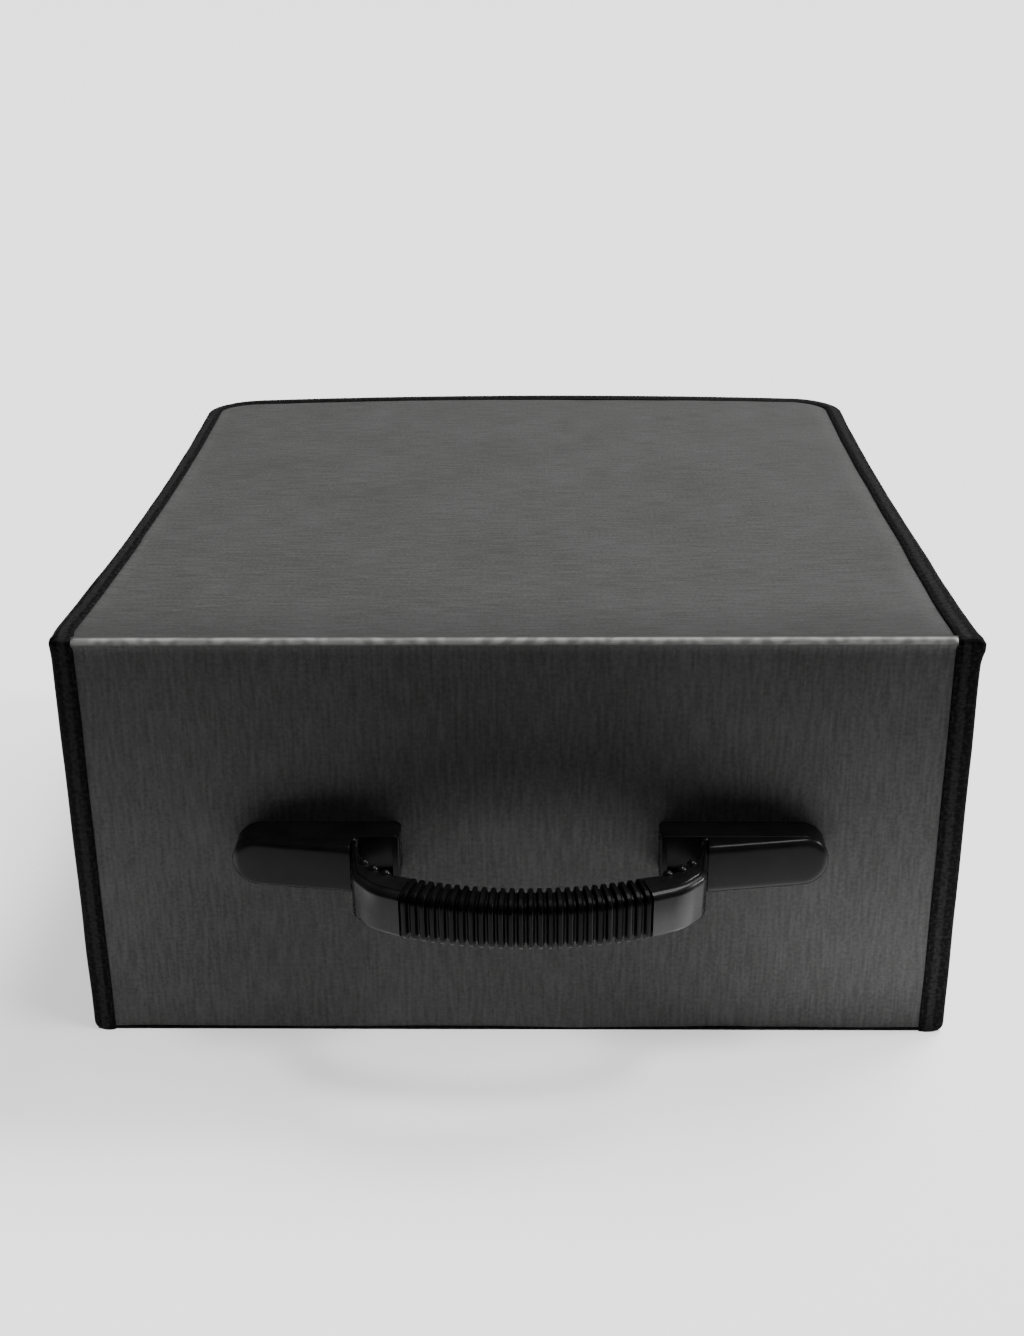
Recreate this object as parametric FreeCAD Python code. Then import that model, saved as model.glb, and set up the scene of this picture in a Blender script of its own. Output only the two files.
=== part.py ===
import FreeCAD, Part

import math
import os

# A zip-around carrying case for an accordion: boards covered with woven fabric, a lid that folds open
# about the front top edge, black tape over the edges, and a flexible strap handle on the front.
# Units are millimetres. +Z is up, the front with the handle faces -Y, and the origin lies in the middle
# of the underside, on the surface that the case stands on.

# Outside of the case, over the edge tapes and without handle and zip pulls
case_width = 390.0
case_depth = 402.0
case_height = 195.0
rear_corner_radius = 26.0
left_middle_draw_in = 4.8
left_rear_draw_in = 0.6
right_middle_draw_in = 3.8
right_rear_draw_in = 0.4

# Layers of the panels, from the outside in
fabric_thickness = 0.8
board_thickness = 3.0
pad_thickness = 8.0
lining_thickness = 0.8
wall_step = 3.6
base_fabric_thickness = 1.2

# Edge tape that binds the panels
tape_thickness = 1.2
tape_on_top = 6.5
tape_on_front = 9.5
tape_on_side = 8.8
tape_edge_round = 0.9
tape_foot_round = 3.5
tape_behind_front = 4.0

# Fold between lid and front, with a round welt in it
welt_radius = 2.2
welt_depth = 1.2
welt_gap = 0.4
fold_clearance = 0.9
welt_end_inset = 0.8

# Gaps between the lid and what it closes on
lid_gap = 0.4
plug_gap = 1.6

# Zip: two tapes with a row of teeth each
zip_tape_thickness = 0.6
upper_tape_height = 14.0
lower_tape_height = 9.7
lower_seam_height = 3.2
teeth_height = 3.0
teeth_thickness = 2.0
teeth_below_top = 16.1
teeth_outer_inset = 0.3
teeth_slot = 1.2
zip_front_gap = 0.5
stop_length = 3.0
stop_extra = 0.2

# Zip sliders and their pulls, on the rear wall
slider_length = 11.0
slider_height = 10.4
slider_outer_plate = 1.8
slider_inner_plate = 0.8
slider_clearance = 0.2
slider_spacing = 1.4
slider_round = 1.0
slider_blade_length = 4.0
slider_blade_thickness = 0.6
pull_pin_radius = 1.0
pull_pin_stand_off = 2.8
pull_pin_play = 0.08
pull_eye_radius = 2.4
pull_width = 6.4
pull_ear_width = 1.4
pull_ear_play = 0.2
pull_thickness = 1.6
pull_length = 26.0
pull_neck = 4.0
pull_slot_length = 9.0
pull_slot_width = 2.6

# Handle: two housings on the front, with a strap between them that bows out
handle_height = 96.6
handle_shift = 6.5
housing_end = 129.0
housing_start = 56.4
housing_width = 23.0
housing_corner_round = 2.0
housing_edge_round = 0.7
base_height = 13.4
base_pocket_floor = 7.0
base_channel_floor = 9.4
base_wall = 1.0
base_end_wall = 3.0
base_outer_wall = 5.0
hood_start = 77.7
hood_rise_outer = 15.0
hood_rise_inner = 23.0
hood_roof = 1.6
hood_edge_round = 1.6
hood_overhang = 4.0
cheek_length = 3.8
cheek_gap = 16.6

# Strap: a tongue in each housing, a free web that bends outwards, and a core inside the sleeve
strap_thickness = 5.6
strap_width = 20.4
strap_seat = 12.75
strap_droop = 5.0
tongue_width = 16.0
tongue_length = 10.8
tongue_lug_length = 4.0
tongue_lug_width = 20.0
web_mouth_gap = 0.3
web_end_x = 52.6
web_end_rise = 34.6
web_end_depth = 15.6
web_outer_radii = (0.6, 8.0, 25.0)
web_inner_radii = (3.0, 8.0, 25.0)
web_rib_radius = 1.7
web_rib_count = 4
core_depth = 8.6
core_width = 15.0
grip_bow = 8.0

# Corners of the web's two outlines, as shares of the way from the housing's mouth to the sleeve
web_outer_shares = ((0.03, 0.0), (0.13, 0.64), (0.47, 0.87))
web_inner_shares = ((0.23, 0.0), (0.29, 0.54), (0.50, 0.76))
web_rib_first_share = 0.10
web_rib_last_share = 0.86
web_line_steps = 100

# Ribbed rubber sleeve over the middle of the strap
sleeve_depth = 13.2
sleeve_width = 18.8
sleeve_round = 3.6
rib_depth = 16.6
rib_width = 22.0
rib_round = 4.8
rib_count = 26
rib_length_share = 0.56

# Screws that hold the housings to the front board
screw_radius = 2.0
screw_play = 0.1
screw_head_radius = 3.6
screw_head_height = 2.4
screw_head_play = 0.3
screw_recess_depth = 2.9
screw_inner_x = 84.0
screw_outer_x = 115.0
plate_thickness = 1.5
plate_margin = 8.0
plate_width = 18.0
plate_pocket_play = 0.3
nut_flat = 7.0
nut_height = 3.0

# How far a cutting shape runs past what it cuts
overrun = 1.0
same_place = 0.01

vector = FreeCAD.Vector
x_way = vector(1, 0, 0)
y_way = vector(0, 1, 0)
z_way = vector(0, 0, 1)

# Planes and insets that several pieces share
front_plane = -case_depth / 2
rear_plane = case_depth / 2
front_fabric_outer = front_plane + tape_thickness
front_fabric_inner = front_fabric_outer + fabric_thickness
front_board_inner = front_fabric_inner + board_thickness
front_pad_inner = front_board_inner + pad_thickness
front_lining_inner = front_pad_inner + lining_thickness

wall_fabric_inset = wall_step
wall_board_inset = wall_fabric_inset + fabric_thickness
wall_pad_inset = wall_board_inset + board_thickness
wall_lining_inset = wall_pad_inset + pad_thickness
cavity_inset = wall_lining_inset + lining_thickness

base_board_low = base_fabric_thickness
base_board_top = base_board_low + board_thickness
base_pad_top = base_board_top + pad_thickness
floor_level = base_pad_top + lining_thickness

lid_fabric_top = case_height - tape_thickness
lid_fabric_low = lid_fabric_top - fabric_thickness
lid_board_low = lid_fabric_low - board_thickness
lid_flange_low = lid_board_low - lining_thickness
lid_pad_low = lid_board_low - pad_thickness
lid_lining_low = lid_pad_low - lining_thickness
rim_level = lid_flange_low - lid_gap

hinge_y = front_fabric_outer + welt_depth
hinge_z = lid_fabric_top - welt_depth
lid_front = hinge_y + welt_radius + welt_gap
lid_tape_low = case_height - tape_thickness - tape_on_side
front_tape_top = hinge_z - welt_radius - fold_clearance

zip_tape_inset = tape_thickness
lid_side_inset = zip_tape_inset + zip_tape_thickness
zip_front = front_board_inner + tape_behind_front + zip_front_gap
upper_teeth_top = case_height - teeth_below_top
upper_teeth_low = upper_teeth_top - teeth_height
lower_teeth_top = upper_teeth_low - teeth_slot
lower_teeth_low = lower_teeth_top - teeth_height
zip_level = (upper_teeth_low + lower_teeth_top) / 2
teeth_front = zip_front + stop_length
teeth_inner_inset = teeth_outer_inset + teeth_thickness


def box(x_low, x_high, y_low, y_high, z_low, z_high):
    """A block between two corners."""
    corner = vector(x_low, y_low, z_low)
    return Part.makeBox(x_high - x_low, y_high - y_low, z_high - z_low, corner)


def polygon_face(points):
    """A flat face with straight sides."""
    return Part.Face(Part.makePolygon(points + [points[0]]))


def rod(start, way, length, radius):
    """A round bar."""
    return Part.makeCylinder(radius, length, start, way)


def straight_edges(shape, way):
    """The straight edges of a shape that run along a direction."""
    found = []
    for edge in shape.Edges:
        if edge.Curve.TypeId != "Part::GeomLine":
            continue
        run = edge.Vertexes[-1].Point - edge.Vertexes[0].Point
        if run.cross(way).Length < same_place:
            found.append(edge)
    return found


plan_faces = {}


def plan_face(inset):
    """The case seen from above, drawn in by inset at its sides and rear, and full at the front."""
    if inset in plan_faces:
        return plan_faces[inset]
    left = inset - case_width / 2
    right = case_width / 2 - inset
    rear = rear_plane - inset
    front_left = vector(left, front_plane, 0)
    front_right = vector(right, front_plane, 0)
    rear_left = vector(left + left_rear_draw_in, rear, 0)
    rear_right = vector(right - right_rear_draw_in, rear, 0)
    left_middle = vector(left + left_middle_draw_in, 0, 0)
    right_middle = vector(right - right_middle_draw_in, 0, 0)
    sides = [
        Part.LineSegment(front_left, front_right).toShape(),
        Part.Arc(front_right, right_middle, rear_right).toShape(),
        Part.LineSegment(rear_right, rear_left).toShape(),
        Part.Arc(rear_left, left_middle, front_left).toShape(),
    ]
    slab = Part.Face(Part.Wire(sides)).extrude(z_way * overrun)
    corners = [e for e in straight_edges(slab, z_way) if e.CenterOfMass.y > rear - same_place]
    slab = slab.makeFillet(rear_corner_radius - inset, corners)
    face = [f for f in slab.Faces if abs(f.CenterOfMass.z) < same_place][0]
    plan_faces[inset] = face
    return face


def plan_block(inset, z_low, z_high, y_front=front_plane):
    """A block with the case's plan, drawn in by inset, that starts at y_front."""
    face = plan_face(inset).copy()
    face.translate(z_way * z_low)
    block = face.extrude(z_way * (z_high - z_low))
    if y_front > front_plane:
        keep = box(-case_width, case_width, y_front, case_depth, z_low - overrun, z_high + overrun)
        block = block.common(keep)
    return block


def plan_ring(outer_inset, inner_inset, z_low, z_high, y_front=front_plane):
    """A band along both sides and the rear, open at the front, between two insets."""
    outer = plan_block(outer_inset, z_low, z_high, y_front)
    inner = plan_block(inner_inset, z_low - overrun, z_high + overrun)
    ahead = box(-case_width, case_width, -case_depth, y_front + overrun, z_low - overrun, z_high + overrun)
    return outer.cut(inner.fuse(ahead.common(inner)))


def front_slab(inset, y_low, y_high, z_low, z_high):
    """A slab across the front whose ends follow the sides, drawn in by inset."""
    slice_box = box(-case_width, case_width, y_low, y_high, z_low - overrun, z_high + overrun)
    return plan_block(inset, z_low, z_high).common(slice_box)


def one(shape):
    """The shape without the seams that joining left on it."""
    return shape.removeSplitter()


def save(name, shape):
    """Writes a piece, and stops if it isn't made of closed solids."""
    if not shape.Solids or not shape.isValid():
        raise RuntimeError(name + " is not a closed solid")
    solids = shape.Solids
    whole = solids[0] if len(solids) == 1 else Part.makeCompound(solids)
    whole.exportStep(os.path.join("parts", name + ".step"))
    print(name, len(solids), round(whole.Volume))


def handle_place(shape, side):
    """Moves a piece from the handle's own frame onto the front: x from its middle, y out of the front."""
    placed = shape.mirror(vector(0, 0, 0), y_way)
    if side < 0:
        placed = placed.mirror(vector(0, 0, 0), x_way)
    placed.translate(vector(handle_shift, front_fabric_outer, handle_height))
    return placed


def outline_prism(start, end, rise_low, rise_high):
    """The housing's outline, square at its inner end and round at its outer end, in the handle's frame."""
    half = housing_width / 2
    centre_x = end - half
    points = [vector(start, rise_low, -half), vector(centre_x, rise_low, -half)]
    tip = vector(end, rise_low, 0)
    upper = [vector(centre_x, rise_low, half), vector(start, rise_low, half)]
    edges = [
        Part.LineSegment(points[0], points[1]).toShape(),
        Part.Arc(points[1], tip, upper[0]).toShape(),
        Part.LineSegment(upper[0], upper[1]).toShape(),
        Part.LineSegment(upper[1], points[0]).toShape(),
    ]
    return Part.Face(Part.Wire(edges)).extrude(y_way * (rise_high - rise_low))


def screw_places():
    """The distances of a housing's two screws from the middle of the handle."""
    return [screw_inner_x, screw_outer_x]


def make_handle_base():
    """The tray that is screwed to the front, with a channel for the strap's end."""
    base = outline_prism(housing_start, housing_end, 0, base_height)
    corners = [e for e in straight_edges(base, y_way) if e.CenterOfMass.x < housing_start + same_place]
    base = base.makeFillet(housing_corner_round, corners)
    rim = [e for e in base.Edges if e.BoundBox.YMin > base_height - same_place]
    base = base.makeFillet(housing_edge_round, rim)
    inside = housing_width / 2 - base_wall
    channel_end = housing_end - base_outer_wall
    pocket = box(housing_start + base_end_wall, hood_start, base_pocket_floor, base_height + overrun,
                 -inside, inside)
    channel = box(hood_start, channel_end - inside, base_channel_floor, base_height + overrun,
                  -inside, inside)
    channel_tip = rod(vector(channel_end - inside, base_channel_floor, 0), y_way,
                      base_height + overrun - base_channel_floor, inside)
    base = base.cut(pocket).cut(channel.fuse(channel_tip))
    for side in (-1, 1):
        low, high = sorted((side * inside, side * cheek_gap / 2))
        cheek = box(hood_start, hood_start + cheek_length, base_channel_floor, base_height, low, high)
        base = base.fuse(cheek)
    for place in screw_places():
        hole = rod(vector(place, -overrun, 0), y_way, base_height, screw_radius + screw_play)
        recess = rod(vector(place, base_channel_floor - screw_recess_depth, 0), y_way,
                     screw_recess_depth + overrun, screw_head_radius + screw_head_play)
        base = base.cut(hole.fuse(recess))
    return one(base)


def hood_wedge(lowering, reach):
    """Everything above the hood's sloping roof, lowered by a wall thickness."""
    points = [
        vector(hood_start - reach, 0, -housing_width),
        vector(housing_end + reach, 0, -housing_width),
        vector(housing_end + reach, housing_width * 2, -housing_width),
        vector(hood_start - reach, housing_width * 2, -housing_width),
    ]
    slope = (hood_rise_inner - hood_rise_outer) / (housing_end - hood_start)
    points[0].y = hood_rise_inner + slope * reach - lowering
    points[1].y = hood_rise_outer - slope * reach - lowering
    return polygon_face(points).extrude(z_way * housing_width * 2)


def make_handle_hood():
    """The hood over the strap's end: a wedge that is highest at its mouth."""
    hood = outline_prism(hood_start, housing_end, base_height, hood_rise_inner + overrun)
    hood = hood.cut(hood_wedge(0, hood_overhang))
    roof = [f for f in hood.Faces if f.normalAt(0, 0).y > 0.5][0]
    hood = hood.makeFillet(min(hood_edge_round, hood_rise_outer - base_height - same_place), roof.Edges)
    inside = housing_width / 2 - base_wall
    hollow = box(hood_start - overrun, housing_end - base_outer_wall - inside, base_height - overrun,
                 hood_rise_inner, -inside, inside)
    tip = rod(vector(housing_end - base_outer_wall - inside, base_height - overrun, 0), y_way,
              hood_rise_inner - base_height + overrun, inside)
    hollow = hollow.fuse(tip).cut(hood_wedge(hood_roof, hood_overhang))
    return one(hood.cut(hollow))


def make_tongue():
    """The flat end of the strap, which slides in the housing, with a lug that stops it at the cheeks."""
    low = strap_seat - strap_thickness / 2
    high = strap_seat + strap_thickness / 2
    end = hood_start + tongue_length
    bar = box(hood_start - web_mouth_gap, end, low, high, -tongue_width / 2, tongue_width / 2)
    lug = box(end - tongue_lug_length, end, low, high, -tongue_lug_width / 2, tongue_lug_width / 2)
    return one(bar.fuse(lug))


def droop(shape):
    """Tilts a piece of the bow down about the line where the strap leaves its housings."""
    tilted = shape.copy()
    tilted.rotate(vector(0, strap_seat, 0), x_way, -strap_droop)
    return tilted


def rounded_path(points, radii):
    """Edges along straight runs in the XY plane, with an arc of the given radius at each inner point."""
    edges = []
    start = points[0]
    for i, radius in enumerate(radii):
        before = (points[i] - points[i + 1]).normalize()
        after = (points[i + 2] - points[i + 1]).normalize()
        half_angle = before.getAngle(after) / 2
        cut_back = radius / math.tan(half_angle)
        arc_start = points[i + 1] + before * cut_back
        arc_end = points[i + 1] + after * cut_back
        middle_way = (before + after).normalize()
        arc_middle = points[i + 1] + middle_way * (radius / math.sin(half_angle) - radius)
        edges.append(Part.LineSegment(start, arc_start).toShape())
        edges.append(Part.Arc(arc_start, arc_middle, arc_end).toShape())
        start = arc_end
    edges.append(Part.LineSegment(start, points[-1]).toShape())
    return edges


def grip_arc_radius():
    """Radius of the sleeve's line, from its half length and its bow."""
    return (web_end_x ** 2 + grip_bow ** 2) / (2 * grip_bow)


def grip_half_angle():
    """Half of the angle that the sleeve takes up on its arc, in degrees."""
    return math.degrees(math.asin(web_end_x / grip_arc_radius()))


def web_outline(start, end, shares):
    """The corners of one side of the web, placed by shares of the way from its start to its end."""
    way = end - start
    corners = [vector(start.x + way.x * across, start.y + way.y * out, 0) for across, out in shares]
    return [start] + corners + [end]


def make_web():
    """The free part of the strap on one side: out of the hood, round a bend and on to the sleeve."""
    mouth = hood_start - web_mouth_gap
    turn = math.radians(grip_half_angle())
    half_end = vector(math.sin(turn), math.cos(turn), 0) * (web_end_depth / 2)
    end_middle = vector(web_end_x, strap_seat + web_end_rise, 0)
    outer_start = vector(mouth, strap_seat + strap_thickness / 2, 0)
    inner_start = vector(mouth, strap_seat - strap_thickness / 2, 0)
    outer_corners = web_outline(outer_start, end_middle + half_end, web_outer_shares)
    inner_corners = web_outline(inner_start, end_middle - half_end, web_inner_shares)
    outer = rounded_path(outer_corners, web_outer_radii)
    inner = rounded_path(inner_corners, web_inner_radii)
    ends = [
        Part.LineSegment(outer_corners[0], inner_corners[0]).toShape(),
        Part.LineSegment(outer_corners[-1], inner_corners[-1]).toShape(),
    ]
    band = Part.Face(Part.Wire(Part.__sortEdges__(outer + inner + ends)))
    band.translate(z_way * -strap_width / 2)
    web = band.extrude(z_way * strap_width)
    ribbed = Part.Wire(Part.__sortEdges__(inner[3:]))
    for i in range(web_rib_count):
        share = web_rib_first_share + (web_rib_last_share - web_rib_first_share) * i / (web_rib_count - 1)
        at = ribbed.discretize(Number=web_line_steps + 1)[round(share * web_line_steps)]
        at = vector(at.x, at.y, -strap_width / 2)
        web = web.fuse(rod(at, z_way, strap_width, web_rib_radius))
    return droop(one(web))


def arc_bar(depth, width, edge_round, angle_low, angle_high):
    """A bar with a rounded rectangular section, bent round the grip's centre between two angles."""
    radius = grip_arc_radius()
    blank = box(0, overrun, radius - depth / 2, radius + depth / 2, -width / 2, width / 2)
    if edge_round > 0:
        blank = blank.makeFillet(edge_round, straight_edges(blank, x_way))
    face = [f for f in blank.Faces if abs(f.CenterOfMass.x) < same_place][0].copy()
    centre = vector(0, 0, 0)
    face.rotate(centre, z_way, angle_low)
    bar = face.revolve(centre, z_way, angle_high - angle_low)
    bar.translate(y_way * (strap_seat + web_end_rise + grip_bow - radius))
    return bar


def make_core():
    """The strap inside the sleeve."""
    return droop(arc_bar(core_depth, core_width, 0, -grip_half_angle(), grip_half_angle()))


def make_sleeve():
    """The rubber sleeve with its ribs, over the core."""
    reach = grip_half_angle()
    pitch = 2 * reach / rib_count
    sleeve = arc_bar(sleeve_depth, sleeve_width, sleeve_round, -reach, reach)
    ribs = []
    for i in range(rib_count):
        start = -reach + pitch * (i + (1 - rib_length_share) / 2)
        ribs.append(arc_bar(rib_depth, rib_width, rib_round, start, start + pitch * rib_length_share))
    sleeve = sleeve.multiFuse(ribs)
    bore = arc_bar(core_depth, core_width, 0, -reach - pitch, reach + pitch)
    return droop(one(sleeve.cut(bore)))


def make_screws():
    """Four pan-head screws with their nuts, from the channel's floor to behind the backing plates."""
    head_low = base_channel_floor - screw_recess_depth
    plate_back = fabric_thickness + board_thickness + plate_thickness
    solids = []
    for side in (-1, 1):
        for place in screw_places():
            head = rod(vector(place, head_low, 0), y_way, screw_head_height, screw_head_radius)
            shank = rod(vector(place, -plate_back - nut_height, 0), y_way,
                        head_low + plate_back + nut_height, screw_radius)
            corner_radius = nut_flat / math.sqrt(3)
            corners = []
            for k in range(6):
                turn = math.radians(60 * k)
                corners.append(vector(place + corner_radius * math.cos(turn), -plate_back,
                                      corner_radius * math.sin(turn)))
            nut = polygon_face(corners).extrude(y_way * -nut_height)
            solids.append(handle_place(one(head.fuse(shank).fuse(nut)), side))
    return Part.makeCompound(solids)


def make_backing_plates(play):
    """The steel strips behind the front board, or the pocket for them if play is added."""
    low = screw_inner_x - plate_margin - play
    high = screw_outer_x + plate_margin + play
    behind = -(fabric_thickness + board_thickness)
    depth = plate_thickness + (nut_height + play if play > 0 else 0)
    solids = []
    for side in (-1, 1):
        plate = box(low, high, behind - depth, behind, -plate_width / 2 - play, plate_width / 2 + play)
        if play == 0:
            for place in screw_places():
                plate = plate.cut(rod(vector(place, behind - depth - overrun, 0), y_way,
                                      depth + 2 * overrun, screw_radius + screw_play))
        solids.append(handle_place(plate, side))
    return Part.makeCompound(solids)


def screw_holes():
    """The holes for the screws through the front fabric and board."""
    holes = []
    reach = fabric_thickness + board_thickness
    for side in (-1, 1):
        for place in screw_places():
            hole = rod(vector(place, -reach - overrun, 0), y_way, reach + 2 * overrun,
                       screw_radius + screw_play)
            holes.append(handle_place(hole, side))
    return Part.makeCompound(holes)


def round_feet(slab, radius, inset):
    """A slab across the front with its two lower outer corners rounded."""
    solid = slab.Solids[0]
    limit = case_width / 2 - inset - overrun
    feet = [e for e in solid.Edges if e.BoundBox.ZMax < same_place and abs(e.CenterOfMass.x) > limit]
    return solid.makeFillet(radius, feet)


def make_front_tape(side):
    """The tape over an upright front edge: a leg on the front, one on the side and a turned seam."""
    limit = case_width / 2 - tape_on_front
    low, high = sorted((side * limit, side * case_width))
    half_space = box(low, high, -case_depth, case_depth, -overrun, case_height)
    front_leg = front_slab(0, front_plane, front_fabric_outer, 0, front_tape_top)
    front_leg = round_feet(front_leg, tape_foot_round, 0).common(half_space)
    edge_leg = front_slab(0, front_fabric_outer, front_board_inner, base_board_top, front_tape_top)
    edge_leg = edge_leg.cut(plan_block(tape_thickness, 0, case_height))
    turned = front_slab(0, front_board_inner, front_board_inner + tape_behind_front,
                        base_board_top + tape_on_side, lid_tape_low - lid_gap)
    turned = turned.cut(plan_block(wall_step, 0, case_height))
    tape = front_leg.fuse(edge_leg.common(half_space)).fuse(turned.common(half_space))
    return one(tape)


def make_base_tape():
    """The tape round the bottom edge of the sides and rear."""
    sole = plan_ring(0, tape_on_top, 0, base_board_low, front_fabric_inner)
    edge = plan_ring(0, tape_thickness, base_board_low, base_board_top, front_board_inner)
    turned = plan_ring(0, wall_step, base_board_top, base_board_top + tape_on_side, front_board_inner)
    return one(sole.fuse(edge).fuse(turned))


def make_lid_tape():
    """The tape round the lid: on its top and down its side."""
    top = plan_ring(0, tape_on_top, lid_fabric_top, case_height, lid_front + welt_gap)
    side = plan_ring(0, tape_thickness, lid_tape_low, lid_fabric_top, lid_front + welt_gap)
    tape = one(top.fuse(side))
    crown = [e for e in tape.Edges if e.BoundBox.ZMin > case_height - same_place
             and e.BoundBox.YMax > lid_front + overrun]
    outer = [e for e in crown if outer_edge(e)]
    return tape.makeFillet(tape_edge_round, outer)


def outer_edge(edge):
    """True for an edge on the case's outermost outline."""
    face = plan_face(0).copy()
    face.translate(z_way * edge.BoundBox.ZMin)
    middle = edge.valueAt((edge.FirstParameter + edge.LastParameter) / 2)
    wire = face.OuterWire
    return wire.distToShape(Part.Vertex(middle))[0] < same_place


def make_upper_zip_tape():
    """The zip's upper tape, sewn between the lid's edge and its tape."""
    return plan_ring(zip_tape_inset, lid_side_inset, upper_teeth_top, upper_teeth_top + upper_tape_height,
                     zip_front)


def make_lower_zip_tape():
    """The zip's lower tape, with the seam that joins it to the wall."""
    low = lower_teeth_low - lower_tape_height
    free = plan_ring(zip_tape_inset, lid_side_inset, low, lower_teeth_low, zip_front)
    seam = plan_ring(zip_tape_inset, wall_step, low, low + lower_seam_height, zip_front)
    return one(free.fuse(seam))


def make_teeth(z_low):
    """One row of zip teeth, as a band."""
    return plan_ring(teeth_outer_inset, teeth_inner_inset, z_low, z_low + teeth_height, teeth_front)


def make_stops(z_low):
    """The clips at both front ends of a row of teeth."""
    band = plan_ring(teeth_outer_inset - stop_extra, teeth_inner_inset + stop_extra, z_low,
                     z_low + teeth_height, zip_front)
    return band.common(box(-case_width, case_width, zip_front, teeth_front, z_low - overrun, case_height))


def slider_centre(side):
    """Where a slider's middle lies when the zip is closed."""
    return side * (slider_length + slider_spacing) / 2


def make_slider(side):
    """A zip slider: outer plate, inner plate, the blade between the rows, and the pin for its pull."""
    middle = slider_centre(side)
    low = zip_level - slider_height / 2
    high = zip_level + slider_height / 2
    outer_face = rear_plane + slider_outer_plate
    inner_gap = rear_plane - teeth_inner_inset - slider_clearance
    outer = box(middle - slider_length / 2, middle + slider_length / 2, rear_plane, outer_face, low, high)
    outer = outer.makeFillet(slider_round, straight_edges(outer, y_way))
    inner = box(middle - slider_length / 2, middle + slider_length / 2, inner_gap - slider_inner_plate,
                inner_gap, low, high)
    inner = inner.makeFillet(slider_round, straight_edges(inner, y_way))
    mouth = middle - side * slider_length / 2
    blade_x = sorted((mouth, mouth + side * slider_blade_length))
    blade = box(blade_x[0], blade_x[1], inner_gap - slider_inner_plate / 2,
                rear_plane + slider_outer_plate / 2,
                zip_level - slider_blade_thickness / 2, zip_level + slider_blade_thickness / 2)
    body = outer.fuse(inner).fuse(blade)
    pin_y = outer_face + pull_pin_stand_off
    ear_start = pull_width / 2 + pull_ear_play
    pin = rod(vector(middle - ear_start - pull_ear_width, pin_y, zip_level), x_way,
              2 * (ear_start + pull_ear_width), pull_pin_radius)
    body = body.fuse(pin)
    for ear_side in (-1, 1):
        ear_x = sorted((middle + ear_side * ear_start, middle + ear_side * (ear_start + pull_ear_width)))
        ear = box(ear_x[0], ear_x[1], outer_face - overrun, pin_y, zip_level - pull_eye_radius,
                  zip_level + pull_eye_radius)
        top = rod(vector(ear_x[0], pin_y, zip_level), x_way, ear_x[1] - ear_x[0], pull_eye_radius)
        body = body.fuse(ear.fuse(top))
    return one(body)


def make_pull(side):
    """A zip pull hanging from its slider: an eye, a neck and a flat tab with a slot."""
    middle = slider_centre(side)
    pin_y = rear_plane + slider_outer_plate + pull_pin_stand_off
    eye = rod(vector(middle - pull_width / 2, pin_y, zip_level), x_way, pull_width, pull_eye_radius)
    tab = box(middle - pull_width / 2, middle + pull_width / 2, pin_y - pull_thickness / 2,
              pin_y + pull_thickness / 2, zip_level - pull_length, zip_level)
    tab = tab.makeFillet(pull_width / 2 - same_place, [e for e in straight_edges(tab, y_way)
                                                      if e.CenterOfMass.z < zip_level - pull_neck])
    slot_top = zip_level - pull_neck - pull_eye_radius
    slot = box(middle - pull_slot_width / 2, middle + pull_slot_width / 2, pin_y - pull_thickness,
               pin_y + pull_thickness, slot_top - pull_slot_length, slot_top)
    slot = slot.makeFillet(pull_slot_width / 2 - same_place, straight_edges(slot, y_way))
    hole = rod(vector(middle - pull_width, pin_y, zip_level), x_way, 2 * pull_width,
               pull_pin_radius + pull_pin_play)
    return one(eye.fuse(tab).cut(slot).cut(hole))


os.makedirs("parts", exist_ok=True)

# Base of the case
save("bottom_fabric", plan_block(tape_on_top, 0, base_board_low, front_fabric_inner))
save("bottom_board", plan_block(tape_thickness, base_board_low, base_board_top, front_fabric_inner))
save("bottom_pad", plan_block(wall_pad_inset, base_board_top, base_pad_top, front_board_inner))
save("bottom_lining", plan_block(wall_pad_inset, base_pad_top, floor_level, front_board_inner))

# Front, which carries the handle
holes = screw_holes()
front_fabric = front_slab(tape_thickness, front_fabric_outer, front_fabric_inner, 0,
                          hinge_z - welt_radius - welt_gap)
front_fabric = round_feet(front_fabric, tape_foot_round - tape_thickness, tape_thickness)
save("front_fabric", front_fabric.cut(holes))
front_board = front_slab(tape_thickness, front_fabric_inner, front_board_inner, base_board_top, rim_level)
save("front_board", front_board.cut(holes))
front_pad = front_slab(wall_pad_inset, front_board_inner, front_pad_inner, floor_level,
                       rim_level - lining_thickness)
save("front_pad", front_pad.cut(make_backing_plates(plate_pocket_play)))
front_lining = front_slab(wall_pad_inset, front_pad_inner, front_lining_inner, floor_level, rim_level)
front_rim = front_slab(wall_pad_inset, front_board_inner, front_pad_inner, rim_level - lining_thickness,
                       rim_level)
save("front_lining", one(front_lining.fuse(front_rim)))

# Side and rear walls, one bent piece each
save("wall_fabric", plan_ring(wall_fabric_inset, wall_board_inset, base_board_top, rim_level,
                              front_board_inner))
save("wall_board", plan_ring(wall_board_inset, wall_pad_inset, base_board_top, rim_level,
                             front_board_inner))
save("wall_pad", plan_ring(wall_pad_inset, wall_lining_inset, floor_level, rim_level - lining_thickness,
                           front_lining_inner))
wall_lining = plan_ring(wall_lining_inset, cavity_inset, floor_level, rim_level, front_lining_inner)
wall_rim = plan_ring(wall_pad_inset, wall_lining_inset, rim_level - lining_thickness, rim_level,
                     front_lining_inner)
save("wall_lining", one(wall_lining.fuse(wall_rim)))

# Edge tapes of the case
save("front_left_tape", make_front_tape(-1))
save("front_right_tape", make_front_tape(1))
save("base_tape", make_base_tape())

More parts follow.
